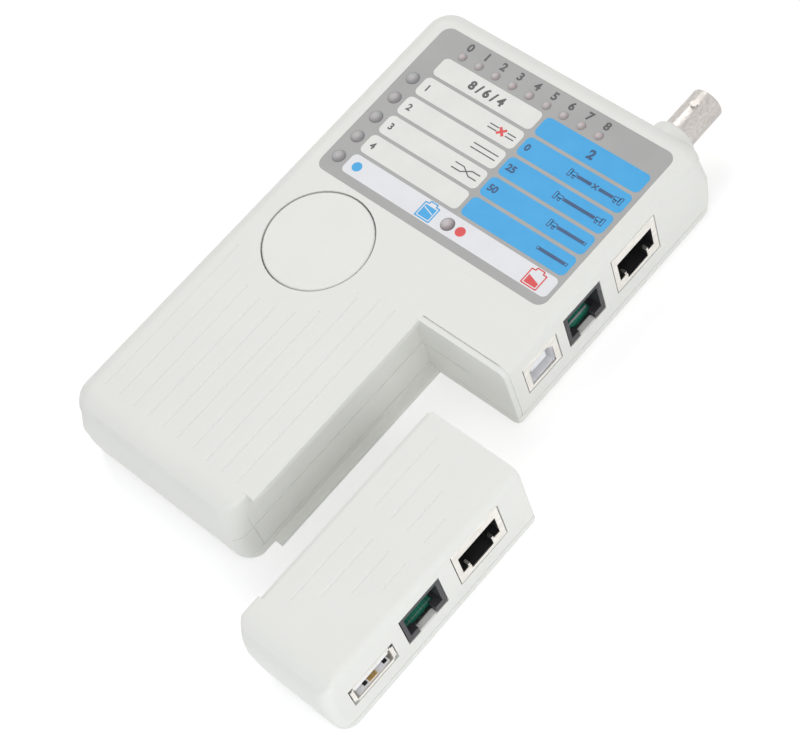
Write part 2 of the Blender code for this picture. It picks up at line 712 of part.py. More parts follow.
def make_main_board():
    left = WALL + BOARD_EDGE
    right = CASE_WIDTH - WALL - BOARD_EDGE
    low = HEAD_START + WALL + BOARD_EDGE
    high = CASE_LENGTH - WALL - BOARD_EDGE
    grip_right = GRIP_WIDTH - WALL - BOARD_EDGE
    grip_low = BAY_Y[1] + BAY_WALL + 2 * GAP
    outline = [(left, grip_low), (grip_right, grip_low), (grip_right, low), (right, low)]
    outline += arc(right, high, BOARD_CORNER, 0, 3) + arc(left, high, BOARD_CORNER, 1, 3)
    board = solid("main_board", prism(outline, BOARD_UNDERSIDE, BOARD_TOP), "board")
    return cut(board, board_holes(CASE_SCREWS[2:], BOARD_UNDERSIDE, BOARD_TOP))


def make_display_board():
    outline = rounded(DISPLAY_X, DISPLAY_Y, 1.0, 2)
    return solid("display_board", prism(outline, DISPLAY_UNDERSIDE, DISPLAY_TOP), "board")


def make_board_link():
    """The pin header that joins the two boards and holds the display board up."""
    x = DISPLAY_X[0] + LINK_INSET[0]
    y = DISPLAY_Y[0] + LINK_INSET[1]
    body = box((x, x + LINK_SIZE[0]), (y, y + LINK_SIZE[1]), (SEAT, DISPLAY_UNDERSIDE - GAP))
    return solid("board_link", body, "black")


def ethernet_opening(middle, grow=0.0):
    """The stepped outline of an eight-way socket, in (y, z)."""
    wide = 6.45 + grow
    narrow = 3.75 + grow
    low = SEAT + 1.2 - grow
    step = SEAT + 3.1 - grow
    high = SEAT + 10.3 + grow
    return [
        (middle - narrow, low),
        (middle + narrow, low),
        (middle + narrow, step),
        (middle + wide, step),
        (middle + wide, high),
        (middle - wide, high),
        (middle - wide, step),
        (middle - narrow, step),
    ]


def make_ethernet(prefix, start, width, at=(0.0, 0.0, 0.0)):
    """A shielded eight-way socket: its metal shield, the black insert in it and the row of contacts."""
    front = width - SOCKET_SETBACK
    back = front - ETHERNET[2]
    high = SEAT + ETHERNET[1]
    end = start + ETHERNET[0]
    middle = (start + end) / 2
    shield = solid(f"{prefix}_ethernet_shield", box((back, front), (start, end), (SEAT, high)), "tin", at)
    hollow = ((start + SHEET, end - SHEET), (SEAT + SHEET, high - SHEET))
    cut(shield, [box((back - 1, front - SHEET), *hollow)], at)
    cut(shield, [prism(ethernet_opening(middle), front - 2, front + 1, "x")], at)
    inset = SHEET + 0.15
    insert_x = (back + 0.2, front - inset)
    insert = solid(
        f"{prefix}_ethernet_insert",
        box(insert_x, (start + inset, end - inset), (SEAT + inset, high - inset)),
        "black",
        at,
    )
    cut(insert, [prism(ethernet_opening(middle, 0.1), front - 13.0, front + 1, "x")], at)
    make_contacts(f"{prefix}_ethernet_contacts", 8, front - 12.7, middle, SEAT + 10.1, at)


def make_contacts(name, count, back, middle, ceiling, at):
    """A row of sprung wires under a socket's ceiling, joined by the bar that they are moulded into."""
    pitch = 1.02
    half = 0.19
    reach = 9.0
    wires = []
    for i in range(count):
        y = middle + (i - (count - 1) / 2) * pitch
        outline = [
            (back + 0.2, ceiling - 0.5),
            (back + reach, ceiling - 0.5),
            (back + reach, ceiling - 0.85),
            (back + 2.4, ceiling - 2.0),
            (back + 2.3, ceiling - 1.65),
            (back + 6.0, ceiling - 0.9),
            (back + 0.2, ceiling - 0.9),
        ]
        wires.append(prism(outline, y - half, y + half, "y"))
    span = count * pitch / 2
    bar = box((back, back + 1.2), (middle - span, middle + span), (ceiling - 1.2, ceiling - 0.2))
    row = solid(name, bar, "gold", at)
    return join(row, wires, at)


def make_phone(prefix, start, width, at=(0.0, 0.0, 0.0)):
    """An open six-way socket: a dark housing with a latch slot, its floor open to the board below."""
    front = width - SOCKET_SETBACK
    back = front - PHONE[2]
    high = SEAT + PHONE[1]
    middle = start + PHONE[0] / 2
    wide = 5.5
    narrow = 3.0
    step = SEAT + 2.3
    roof = high - 1.1
    shape = [
        (middle - narrow, SEAT - 1),
        (middle + narrow, SEAT - 1),
        (middle + narrow, step),
        (middle + wide, step),
        (middle + wide, roof),
        (middle - wide, roof),
        (middle - wide, step),
        (middle - narrow, step),
    ]
    housing = box((back, front), (start, start + PHONE[0]), (SEAT, high))
    made = solid(f"{prefix}_phone_socket", housing, "grey", at)
    cut(made, [prism(shape, back + 2.5, front + 1, "x")], at)
    floor_gap = (middle - wide + 0.8, middle + wide - 0.8)
    cut(made, [box((back + 4.0, front - 2.2), floor_gap, (SEAT - 1, SEAT + 3))], at)
    make_contacts(f"{prefix}_phone_contacts", 4, back + 2.8, middle, roof, at)


def make_usb_b():
    """The square USB socket: a shield with two cut corners, and the white block inside."""
    front = CASE_WIDTH - SOCKET_SETBACK
    back = front - USB_B[2]
    high = SEAT + USB_B[1]
    end = USB_B_START + USB_B[0]
    middle = (USB_B_START + end) / 2
    shield = solid("master_usb_shield", box((back, front), (USB_B_START, end), (SEAT, high)), "tin")
    hollow = ((USB_B_START + SHEET, end - SHEET), (SEAT + SHEET, high - SHEET))
    cut(shield, [box((back - 1, front - SHEET), *hollow)])
    half = 4.3
    low_in = SEAT + 1.0
    high_in = high - 1.4
    bevel = 1.8
    opening = [
        (middle - half, low_in),
        (middle + half, low_in),
        (middle + half, high_in - bevel),
        (middle + half - bevel, high_in),
        (middle - half + bevel, high_in),
        (middle - half, high_in - bevel),
    ]
    cut(shield, [prism(opening, front - 2, front + 1, "x")])
    inset = SHEET + 0.15
    core_x = (back + 0.2, front - inset)
    block = box(core_x, (USB_B_START + inset, end - inset), (SEAT + inset, high - inset))
    core = solid("master_usb_core", block, "white")
    cut(core, [prism(opening, front - 9, front + 1, "x")])
    rise = (low_in + high_in) / 2
    join(core, [box((front - 10, front - 1.6), (middle - 2.8, middle + 2.8), (rise - 1.6, rise + 1.6))])


def make_usb_a(at):
    """The flat USB socket: a folded shield on two feet with a flared mouth, and the white tongue inside."""
    front = REMOTE_WIDTH - SOCKET_SETBACK
    back = front - USB_A[2]
    low = SEAT + USB_A_LIFT
    high = low + USB_A[1]
    end = REMOTE_USB_START + USB_A[0]
    span = (REMOTE_USB_START, end)
    shield = solid("remote_usb_shield", box((back, front), span, (low, high)), "tin", at)
    flare = USB_A_FLARE
    mouth = (front - SHEET, front)
    upright = box(mouth, (span[0] + 0.5, end - 0.5), (low - flare, high + flare))
    join(shield, [upright], at)
    join(shield, [box(mouth, (span[0] - flare, end + flare), (low + 0.5, high - 0.5))], at)
    hollow = ((span[0] + SHEET, span[1] - SHEET), (low + SHEET, high - SHEET))
    cut(shield, [box((back + SHEET, front + 1), *hollow)], at)
    foot = (back + 2, back + 4)
    feet = [box(foot, (y, y + SHEET * 2), (SEAT, low + 0.2)) for y in (span[0], end - SHEET * 2)]
    join(shield, feet, at)
    block = box((back + SHEET + GAP, back + 3), (span[0] + 0.7, end - 0.7), (low + 0.7, high - 0.7))
    tongue = solid("remote_usb_tongue", block, "white", at)
    shelf = box((back + 2, front - 0.6), (span[0] + 0.9, end - 0.9), (high - 2.55, high - 0.72))
    join(tongue, [shelf], at)


def make_coax():
    """The coaxial socket: a nickel barrel with two bayonet lugs, its insulator and its centre contact."""
    root = CASE_LENGTH - WALL - GAP
    end = CASE_LENGTH + COAX_REACH
    profile = [
        (COAX_BORE, end),
        (COAX_RADIUS - 0.3, end),
        (COAX_RADIUS, end - 0.3),
        (COAX_RADIUS, root - 0.1),
        (COAX_RADIUS + 0.7, root - 0.1),
        (COAX_RADIUS + 0.7, root - 9.5),
        (COAX_BORE, root - 9.5),
    ]
    barrel = solid("coax_barrel", turned(profile, COAX_X, COAX_Z, "y", 32, closed=True), "nickel")
    lug_y = end - LUG_FROM_END
    reach = COAX_RADIUS + LUG_HEIGHT
    inner = COAX_BORE + 0.3
    up = cylinder(COAX_X, lug_y, LUG_RADIUS, COAX_Z + inner, COAX_Z + reach, steps=12)
    down = cylinder(COAX_X, lug_y, LUG_RADIUS, COAX_Z - reach, COAX_Z - inner, steps=12)
    foot_low = (COAX_X - 4.5, COAX_X + 4.5)
    foot = box(foot_low, (root - 8.5, root - 1.0), (SEAT, COAX_Z - COAX_BORE - 0.4))
    join(barrel, [up, down, foot])
    sleeve_radius = COAX_BORE - GAP
    sleeve = [(0.95, end - 7.0), (sleeve_radius, end - 7.0), (sleeve_radius, root - 8.5), (0.95, root - 8.5)]
    solid("coax_insulator", turned(sleeve, COAX_X, COAX_Z, "y", 20, closed=True), "white")
    pin = [(0.65, end - 5.5), (0.65, root - 9.2)]
    solid("coax_contact", turned(pin, COAX_X, COAX_Z, "y", 10), "gold")


def make_battery():
    """The battery with its two studs, and the snap connector that they sit in."""
    x = (BATTERY_X, BATTERY_X + BATTERY_SIZE[0])
    z = (BATTERY_Z, BATTERY_Z + BATTERY_SIZE[2])
    body = prism(rounded(x, z, 2.0, 3), BATTERY_Y, BATTERY_END, "y")
    battery = solid("battery_9v", body, "battery")
    tip = BATTERY_END + TERMINAL_REACH
    join(battery, [cylinder(u, TERMINAL_Z, radius, BATTERY_END - 0.5, tip, "y") for u, radius in TERMINALS])
    outline = rounded((x[0] + 2, x[1] - 2), (z[0] + 1, z[1] - 4), 2.0, 3)
    snap = solid("battery_snap", prism(outline, BATTERY_END + GAP, SNAP_END, "y"), "black")
    holes = []
    for u, radius in TERMINALS:
        holes.append(cylinder(u, TERMINAL_Z, radius + GAP, BATTERY_END - 1, tip + GAP, "y"))
    cut(snap, holes)


def make_cover():
    """The battery cover: a plate flush in the back, with two ribs towards the battery and thumb grooves."""
    x = (BAY_X[0] + GAP, BAY_X[1] - GAP)
    y = (BAY_Y[0] + GAP, BAY_Y[1] - GAP)
    pivot = ((x[0] + x[1]) / 2, (y[0] + y[1]) / 2, 0.0)
    plate = solid("battery_cover", box(x, y, (0.05, COVER_THICKNESS)), "shell", pivot=pivot)
    ribs = [
        box((u, u + 1.2), (y[0] + 4, y[1] - 8), (COVER_THICKNESS - 0.5, BATTERY_Z - GAP))
        for u in (x[0] + 5, x[1] - 6.2)
    ]
    join(plate, ribs)
    grooves = []
    for i in range(3):
        start = y[1] - 4 - 1.6 * i
        grooves.append(box((pivot[0] - 5, pivot[0] + 5), (start, start + 0.7), (-1.0, 0.5)))
    return cut(plate, grooves)


def make_remote_shells():
    """The remote's two shells, whose left side steps in above and below for the main unit's lip and rail."""
    tongue_top = LIP_UNDERSIDE - 0.5
    rail_room = RAIL_THICKNESS + 0.4
    rail_notch = RAIL_OVERHANG - LIP_OVERHANG
    out = -TONGUE_REACH
    heights = outer_heights()
    above = [remote_ring(height, out) for height in heights if height < tongue_top]
    above += [remote_ring(tongue_top, out), remote_ring(tongue_top, 0.0)]
    above += [remote_ring(height, 0.0) for height in heights if height > tongue_top]
    hollow = hollow_rings(lambda height: remote_outline(height, WALL, WALL, WALL))
    top = solid("remote_top_shell", skin(hollow + above), "shell", REMOTE_AT)
    join(top, [boss(place, SEAT, CEILING + 0.8) for place in REMOTE_SCREWS], REMOTE_AT)
    pilots = [cylinder(*place, SCREW_SHANK + GAP, SPLIT, SCREW_TIP + 1) for place in REMOTE_SCREWS]
    mouth = (USB_A[0] + 2 * USB_A_FLARE, USB_A[1] + 2 * USB_A_FLARE)
    windows = [
        socket_window(ETHERNET, REMOTE_ETHERNET_START, width=REMOTE_WIDTH),
        socket_window(PHONE, REMOTE_PHONE_START, width=REMOTE_WIDTH),
        socket_window(mouth, REMOTE_USB_START - USB_A_FLARE, USB_A_LIFT - USB_A_FLARE, REMOTE_WIDTH),
    ]
    cut(top, [*windows, *pilots, *remote_grooves()], REMOTE_AT)

    notch = rail_notch + GAP
    below = [remote_ring(height, notch) for height in base_heights()]
    below += [remote_ring(rail_room, notch), remote_ring(rail_room, out), remote_ring(SEAM_LOW, out)]
    tray = tray_rings(lambda inset: remote_outline(SPLIT, inset, inset, inset))
    bottom = solid("remote_bottom_shell", skin(below + tray), "shell", REMOTE_AT)
    join(bottom, [boss(place, 1.0, BOARD_UNDERSIDE - GAP) for place in REMOTE_SCREWS], REMOTE_AT)
    cut(bottom, [screw_hole(place) for place in REMOTE_SCREWS], REMOTE_AT)


def remote_ring(height, notch):
    """An outer ring of the remote, whose end keeps its full width and whose side steps in to the notch."""
    edge = lean(height, GRIP_FILLET)
    left = -TONGUE_REACH + edge
    return lift(remote_outline(height, left, max(notch, left)), height)


def make_remote_board():
    x = (WALL + BOARD_EDGE, REMOTE_WIDTH - WALL - BOARD_EDGE)
    y = (WALL + BOARD_EDGE, REMOTE_LENGTH - WALL - BOARD_EDGE)
    outline = rounded(x, y, 1.0, 2)
    board = solid("remote_board", prism(outline, BOARD_UNDERSIDE, BOARD_TOP), "board", REMOTE_AT)
    return cut(board, board_holes(REMOTE_SCREWS, BOARD_UNDERSIDE, BOARD_TOP), REMOTE_AT)


def make_master():
    make_top_shell()
    make_bottom_shell()
    make_label()
    for name, x, y, radius in lamp_places():
        make_lamp(name, x, y, radius)
    make_button()
    make_switch()
    make_main_board()
    make_display_board()
    make_board_link()
    make_ethernet("master", ETHERNET_START, CASE_WIDTH)
    make_phone("master", PHONE_START, CASE_WIDTH)
    make_usb_b()
    make_coax()
    make_battery()
    make_cover()
    for i, place in enumerate(CASE_SCREWS):
        make_screw(f"case_screw_{i + 1}", place)


def make_remote():
    make_remote_shells()
    make_remote_board()
    make_ethernet("remote", REMOTE_ETHERNET_START, REMOTE_WIDTH, REMOTE_AT)
    make_phone("remote", REMOTE_PHONE_START, REMOTE_WIDTH, REMOTE_AT)
    make_usb_a(REMOTE_AT)
    for i, place in enumerate(REMOTE_SCREWS):
        make_screw(f"remote_screw_{i + 1}", place, REMOTE_AT)


for existing in list(bpy.data.objects):
    bpy.data.objects.remove(existing)
make_master()
make_remote()
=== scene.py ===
"""A hand-held network cable tester: the main unit with its legend panel, and the remote unit beside it."""

import json
import math

import bmesh
import bpy
from mathutils import Matrix, Vector

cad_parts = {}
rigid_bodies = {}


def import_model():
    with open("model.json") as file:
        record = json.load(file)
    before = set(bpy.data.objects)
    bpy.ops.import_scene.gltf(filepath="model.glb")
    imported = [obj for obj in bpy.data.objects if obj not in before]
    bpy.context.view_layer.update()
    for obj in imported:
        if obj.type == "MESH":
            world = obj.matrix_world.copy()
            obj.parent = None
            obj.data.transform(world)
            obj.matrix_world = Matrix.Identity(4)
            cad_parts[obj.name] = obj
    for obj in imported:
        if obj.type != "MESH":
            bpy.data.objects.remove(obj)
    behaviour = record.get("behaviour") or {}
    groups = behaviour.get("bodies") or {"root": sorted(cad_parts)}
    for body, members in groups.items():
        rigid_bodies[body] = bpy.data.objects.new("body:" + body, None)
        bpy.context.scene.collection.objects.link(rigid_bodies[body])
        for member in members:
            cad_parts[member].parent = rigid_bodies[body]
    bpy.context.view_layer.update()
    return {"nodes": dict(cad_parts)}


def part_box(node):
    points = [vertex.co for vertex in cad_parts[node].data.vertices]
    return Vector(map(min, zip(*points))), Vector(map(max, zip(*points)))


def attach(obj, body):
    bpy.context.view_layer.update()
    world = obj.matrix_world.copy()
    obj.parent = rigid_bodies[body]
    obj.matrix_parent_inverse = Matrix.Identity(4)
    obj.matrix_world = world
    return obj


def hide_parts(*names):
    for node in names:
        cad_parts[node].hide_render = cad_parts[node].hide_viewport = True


for thing in list(bpy.data.objects):
    bpy.data.objects.remove(thing)

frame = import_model()

# Lengths are in millimetres on the main unit's plan: the outer corner of the grip's end is zero.
MM = 0.001
PLAN_MIDDLE = (43.3, 72.15)

# Camera, aimed at a point on the head beside the step; its angles are in degrees.
AIM = (58.28, 57.81, 12.5)
AIM_DISTANCE = 529.9
AIM_TURN = 62.167
AIM_RISE = 57.559
AIM_ROLL = -23.635
LENS = 97.98
SENSOR = 36.0

# Legend panel and its ink.
PANEL_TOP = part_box("label_panel")[1].z / MM
PANEL_REACH = 0.13
PANEL_CORNER = 2.8
INK = 0.03
INK_SUNK = 0.02
LEGEND_LEFT = 13.1
LEGEND_SPLIT = 46.3
COAX_LEFT = 47.45
COAX_RIGHT = 80.8
ROW_START = 89.0
ROW_PITCH = 7.1
ROW_HEIGHT = 6.1
ROW_CORNER = 1.5
HEADER_ROW = 5
BATTERY_ROW = 0

# Printed numbers: height, how much bolder than the plain face, and where they stand.
PIN_DIGIT_HEIGHT = 2.4
PIN_DIGIT_BASE = 135.1
ROW_DIGIT_HEIGHT = 2.0
ROW_DIGIT_LEFT = 14.8
OHM_NUMBERS = ((4, "0"), (3, "25"), (2, "50"))
OHM_NUMBER_LEFT = 48.6
HEADER_DIGIT_HEIGHT = 2.7
SOCKET_WAYS = "8 / 6 / 4"
COAX_WAYS = "2"
PLAIN_BOLD = 0.035
ROW_BOLD = 0.03
HEADER_BOLD = 0.045

# Battery row: a dot and a battery mark for each of its two states.
BATTERY_BOX_RIGHT = COAX_RIGHT + 0.2
BATTERY_HOLE_MARGIN = 0.1
DOT_RADIUS = 1.4
DOT_Y = 92.0
FULL_DOT_X = 16.4
LOW_DOT_X = 51.5
FULL_MARK_X = 40.65
LOW_MARK_X = 75.4
FULL_LEVEL = (93.45, 93.45)
LOW_LEVEL = (92.35, 91.25)
GLEAM = ((39.0, 92.75), (42.3, 91.75))
GLEAM_WIDTH = 0.25
MARK_HALF = 2.3
MARK_NECK_HALF = 1.15
MARK_LOW = 89.55
MARK_SHOULDER = 94.0
MARK_TOP = 94.75
MARK_STROKE = 0.34
FILL_HALF = 1.8
FILL_LOW = 90.0

# Wire marks of the white rows: where the wires start, bend and end, and their heights.
STROKE = 0.32
WIRE_END = 44.9
SHORTED_ROW = 4
SHORTED_WIRES = ((36.4, 39.3), (42.2, WIRE_END))
SHORTED_HALF_GAP = 0.55
SHORT_X = 40.6
SHORT_REACH = 1.45
SHORT_WIDTH = 0.75
STRAIGHT_START = 36.8
STRAIGHT_HEIGHTS = (112.75, 114.2)
CROSSED_START = 36.7
CROSSED_BENDS = (39.6, 42.3)
CROSSED_LOW = 105.5
CROSSED_HIGH = 107.2

# Cable marks of the blue rows, each with its row: plugs with the way they face, bars, a break and bare ends.
CABLE_LIFT = 0.1
CABLE_HALF = 0.45
CABLE_PLUGS = {
    "cable_plugs_short": ((4, 62.5, 1), (4, 79.3, -1)),
    "cable_plugs_both": ((3, 63.8, 1), (3, 79.3, -1)),
    "cable_plug_single": ((2, 67.8, 1),),
}
CABLE_BARS = ((4, 65.3, 69.7), (4, 72.1, 76.5), (3, 66.6, 76.5), (2, 70.6, 79.6), (1, 70.1, 79.6))
BREAK_ROW = 4
BREAK_X = 70.9
BREAK_REACH = 1.0
BREAK_WIDTH = 0.35
BARE_ENDS = ((2, 79.2), (1, 70.5), (1, 79.2))
BARE_END_HALF = (0.2, 0.25)
PLUG_PARTS = ((0.0, 0.95, -1.15, 1.15), (0.75, 2.6, -0.35, 0.75), (1.5, 2.3, -1.15, -0.15))
PLUG_STROKE = 0.22

# Lamps: the dome stands on its collar and its brim covers the edge of the panel's hole. The place of the
# lens's painted highlight, from which its painted shade darkens outwards, is a share of the dome's box.
PIN_LAMPS = 9
PIN_LAMP_RADIUS = 1.25
STATE_LAMPS = 5
STATE_LAMP_RADIUS = 1.85
LAMP_TURNS = 40
LAMP_RINGS = 9
LAMP_COLLAR = 0.8
LAMP_FOOT = PANEL_TOP - 0.04
LAMP_OVERHANG = 0.05
LAMP_FULLNESS = 2.2
LAMP_HOLE_INSET = 0.28
LENS_PAINTED_HIGHLIGHT_PLACE = (0.32, 0.55, 0.0)

# Dressed copies: how near two points are taken as one, the bend that a flat face may hide and the least bend
# that is a sharp edge, both in degrees.
WELD = 0.002
FLAT_ANGLE = 0.6
SHARP_ANGLE = 35

# Outlines are drafted as slabs with this half thickness and weld, and are then set to their heights.
DRAFT_HALF = 0.5
DRAFT_WELD = 0.0001

# Seam of the shells: each face's height in the solids, and where the dressed copy has it.
SEAM_FACES = ((3.05, 3.12), (3.35, 3.28))
SAME_PLACE = 0.006

# Grooves of the top shells: the height of their lowest lines.
GROOVE_FLOOR = 24.86

# The two shadow lines by the step: the one across the head's top, and the one along the head's inner face.
TOP_LINE_EDGES = (68.5, 68.95)
TOP_LINE_FLOOR = 24.8
TOP_LINE_EXTRA = 0.25
FACE_LINE_EDGES = (12.5, 12.8)
FACE_LINE_BACK = 67.4
FACE_LINE_EXTRA = 0.7

# Plates in the sockets: depths behind the mouth, reach along the wall from its middle, heights and corner.
BOARD_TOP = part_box("main_board")[1].z / MM
SILL = {
    "depths": (0.05, 1.75),
    "reach": (-2.8, 2.8),
    "heights": (BOARD_TOP, BOARD_TOP + 0.5),
    "corner": 0.3,
}
BOARD_LINE = {
    "depths": (4.15, 4.6),
    "reach": (-4.4, 4.4),
    "heights": (BOARD_TOP, BOARD_TOP + 0.12),
    "corner": 0.15,
}
ETHERNET_LEDGE = 11.6
TAB = {
    "depths": (0.2, 1.8),
    "reach": (3.8, 4.5),
    "heights": (ETHERNET_LEDGE, ETHERNET_LEDGE + 0.8),
    "corner": 0.2,
}
USB_FLOOR = 9.8
USB_LINER = {
    "depths": (0.35, 2.8),
    "reach": (-5.3, 5.3),
    "heights": (USB_FLOOR - 0.02, USB_FLOOR + 0.03),
    "corner": 0.2,
}
# Black plates in the flat USB socket's floor: painted shade for the dark seen through its two spring windows.
USB_PAINTED_WINDOW_SHADE = {
    "depths": (0.9, 2.2),
    "reach": (-0.6, 0.6),
    "heights": (USB_FLOOR + 0.01, USB_FLOOR + 0.06),
    "corner": 0.15,
}
USB_PAINTED_WINDOW_SHADE_MIDDLES = (-2.4, 4.3)
USB_SPRING = {
    "depths": (0.6, 2.2),
    "reach": (-1.4, 1.3),
    "heights": (USB_FLOOR - 0.02, USB_FLOOR + 0.2),
    "corner": 0.2,
}

# Light: a power and a tint for the even light all round, and a place, a power and a tint for each soft light.
SKY_POWER = 0.575
SKY_TINT = (0.98, 0.99, 1.0)
LIGHT_WIDTH = 400
SOFT_LIGHTS = {
    "key_light": ((-260, 260, 560), 1.12, (1.0, 0.99, 0.97)),
    "gap_light": ((240, -60, 460), 0.30, (1.0, 1.0, 0.99)),
    "side_light": ((470, 60, 150), 0.44, (1.0, 1.0, 0.99)),
    "front_light": ((300, -330, 110), 0.52, (0.93, 0.96, 1.0)),
}

# Floor: half its width, how far it lies under the tester, its two greys and its glow to the camera.
FLOOR_HALF = 3000
FLOOR_SUNK = 0.02
FLOOR_GREYS = ((0.86, 0.86, 0.86), (0.89, 0.89, 0.89))
FLOOR_GLOW = 0.30

# Colours as linear values.
WARM_WHITE = (0.800, 0.803, 0.768)
SHADED_WHITE = (0.760, 0.764, 0.730)
SPECK_GREY = (0.45, 0.44, 0.40)
PANEL_GREY = (0.385, 0.385, 0.380)
PANEL_DARK = (0.345, 0.345, 0.342)
LEGEND_WHITE = (0.800, 0.800, 0.765)
LEGEND_SHADE = (0.770, 0.770, 0.738)
LEGEND_COOL = (0.800, 0.800, 0.830)
COAX_BLUE = (0.028, 0.385, 0.775)
COAX_BLUE_DEEP = (0.024, 0.365, 0.745)
INK_GREY = (0.105, 0.105, 0.110)
INK_NAVY = (0.030, 0.095, 0.230)
INK_RED = (0.800, 0.070, 0.075)
# Lamp lenses: each lens colour in a painted lit tone and a painted shaded tone, for painted light on its
# dome.
STATE_PAINTED_LIT = (0.480, 0.470, 0.474)
STATE_PAINTED_SHADE = (0.215, 0.205, 0.210)
PIN_PAINTED_LIT = (0.560, 0.510, 0.515)
PIN_PAINTED_SHADE = (0.300, 0.255, 0.262)
LOW_PAINTED_LIT = (0.560, 0.520, 0.530)
LOW_PAINTED_SHADE = (0.190, 0.155, 0.166)
BOARD_GREEN = (0.040, 0.380, 0.250)
TRACK_GREEN = (0.070, 0.460, 0.310)
BOARD_PRINT = (0.62, 0.66, 0.60)
NICKEL_LIGHT = (0.64, 0.61, 0.58)
NICKEL_DARK = (0.46, 0.43, 0.41)
TIN_LIGHT = (0.90, 0.88, 0.84)
TIN_DARK = (0.72, 0.69, 0.64)
GILT_LIGHT = (0.90, 0.66, 0.30)
GILT_DARK = (0.70, 0.46, 0.17)
ZINC_LIGHT = (0.62, 0.62, 0.63)
ZINC_DARK = (0.40, 0.40, 0.42)
BLACK_LIGHT = (0.016, 0.016, 0.018)
BLACK_DARK = (0.009, 0.009, 0.010)
SLATE_LIGHT = (0.050, 0.049, 0.055)
SLATE_DARK = (0.022, 0.022, 0.026)
MILK_LIGHT = (0.90, 0.90, 0.92)
MILK_DARK = (0.84, 0.84, 0.87)
JACKET_DARK = (0.020, 0.021, 0.024)
JACKET_COPPER = (0.520, 0.250, 0.100)
JACKET_WORN = (0.30, 0.29, 0.28)

# The battery's jacket turns from dark to copper between these places along it, from the tester's middle.
JACKET_BAND = (-31.5, -31.1)


def place(x, y, z=0.0):
    """A point of the plan, in metres about the middle of the main unit."""
    return Vector(((x - PLAN_MIDDLE[0]) * MM, (y - PLAN_MIDDLE[1]) * MM, z * MM))


def plan_box(node):
    """A node's box on the plan: its left, right, near and far edge."""
    low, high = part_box(node)
    across = [value / MM + PLAN_MIDDLE[0] for value in (low.x, high.x)]
    along = [value / MM + PLAN_MIDDLE[1] for value in (low.y, high.y)]
    return across + along


def plan_middle(node):
    """The middle of a node's box on the plan."""
    left, right, near, far = plan_box(node)
    return (left + right) / 2, (near + far) / 2


def shade(colour, share):
    """The colour with each part multiplied by share."""
    return tuple(part * share for part in colour)


class Wire:
    """A node's output, with arithmetic that adds Math nodes."""

    def __init__(self, nodes, socket):
        self.nodes = nodes
        self.socket = socket

    def math(self, operation, first, second):
        return self.nodes.node("Math", {"operation": operation}, {0: first, 1: second})

    def __add__(self, other):
        return self.math("ADD", self, other)

    def __radd__(self, other):
        return self.math("ADD", other, self)

    def __sub__(self, other):
        return self.math("SUBTRACT", self, other)

    def __rsub__(self, other):
        return self.math("SUBTRACT", other, self)

    def __mul__(self, other):
        return self.math("MULTIPLY", self, other)

    def __rmul__(self, other):
        return self.math("MULTIPLY", other, self)


class Nodes:
    """A node tree and its output, which is a material's or the world's."""

    def __init__(self, tree, kind):
        self.tree = tree
        self.tree.nodes.clear()
        self.output = self.tree.nodes.new("ShaderNodeOutput" + kind)

    def show(self, shader):
        """Sends a shader to the output, in place of an earlier one."""
        self.feed(self.output.inputs[0], shader)

    def feed(self, socket, value):
        """Gives a socket a link or a value; a colour of three parts gets its fourth."""
        if isinstance(value, Wire):
            self.tree.links.new(value.socket, socket)
        elif socket.type == "RGBA" and len(value) == 3:
            socket.default_value = (*value, 1.0)
        else:
            socket.default_value = value

    def node(self, kind, settings=None, inputs=None, output=0):
        """Adds a node: its settings first, then what its sockets take, by name or number."""
        made = self.tree.nodes.new("ShaderNode" + kind)
        for name, value in (settings or {}).items():
            setattr(made, name, value)
        for name, value in (inputs or {}).items():
            self.feed(made.inputs[name], value)
        return Wire(self, made.outputs[output])

    def straight_rays(self):
        """1 for rays from the camera, off gloss or through glass, and 0 for light that falls on pieces."""
        seen = self.node("LightPath", output="Is Camera Ray") + self.node("LightPath", output="Is Glossy Ray")
        return seen + self.node("LightPath", output="Is Transmission Ray")


class Finish(Nodes):
    """One material's nodes, round a Principled shader."""

    def __init__(self, name):
        self.material = bpy.data.materials.new(name)
        self.material.use_nodes = True
        super().__init__(self.material.node_tree, "Material")
        self.shader = self.tree.nodes.new("ShaderNodeBsdfPrincipled")
        self.show(Wire(self, self.shader.outputs[0]))
        on_piece = self.node("TexCoord", output="Object")
        self.position = self.node("VectorMath", {"operation": "SCALE"}, {0: on_piece, "Scale": 1 / MM})

    def stretched(self, stretch):
        """The place on the piece in millimetres, multiplied along each axis."""
        return self.node("VectorMath", {"operation": "MULTIPLY"}, {0: self.position, 1: stretch})

    def noise(self, size, detail, stretch=None):
        """Noise whose lumps are about size millimetres across."""
        where = self.stretched(stretch) if stretch else self.position
        return self.node("TexNoise", None, {"Vector": where, "Scale": 1 / size, "Detail": detail})

    def between(self, value, low, high):
        """0 up to low and 1 from high, with a smooth step between them."""
        settings = {"interpolation_type": "SMOOTHSTEP"}
        return self.node("MapRange", settings, {"Value": value, "From Min": low, "From Max": high})

    def mix(self, share, first, second):
        """A colour from first to second, by share."""
        return self.node("Mix", {"data_type": "RGBA"}, {0: share, 6: first, 7: second}, 2)

    def relief(self, height, depth, strength):
        """Sets the bump: a height of 1 stands depth millimetres out."""
        inputs = {"Height": height, "Distance": depth * MM, "Strength": strength}
        self.set({"Normal": self.node("Bump", None, inputs)})

    def set(self, values):
        """Gives the Principled shader its values and links."""
        for name, value in values.items():
            self.feed(self.shader.inputs[name], value)
        return self.material


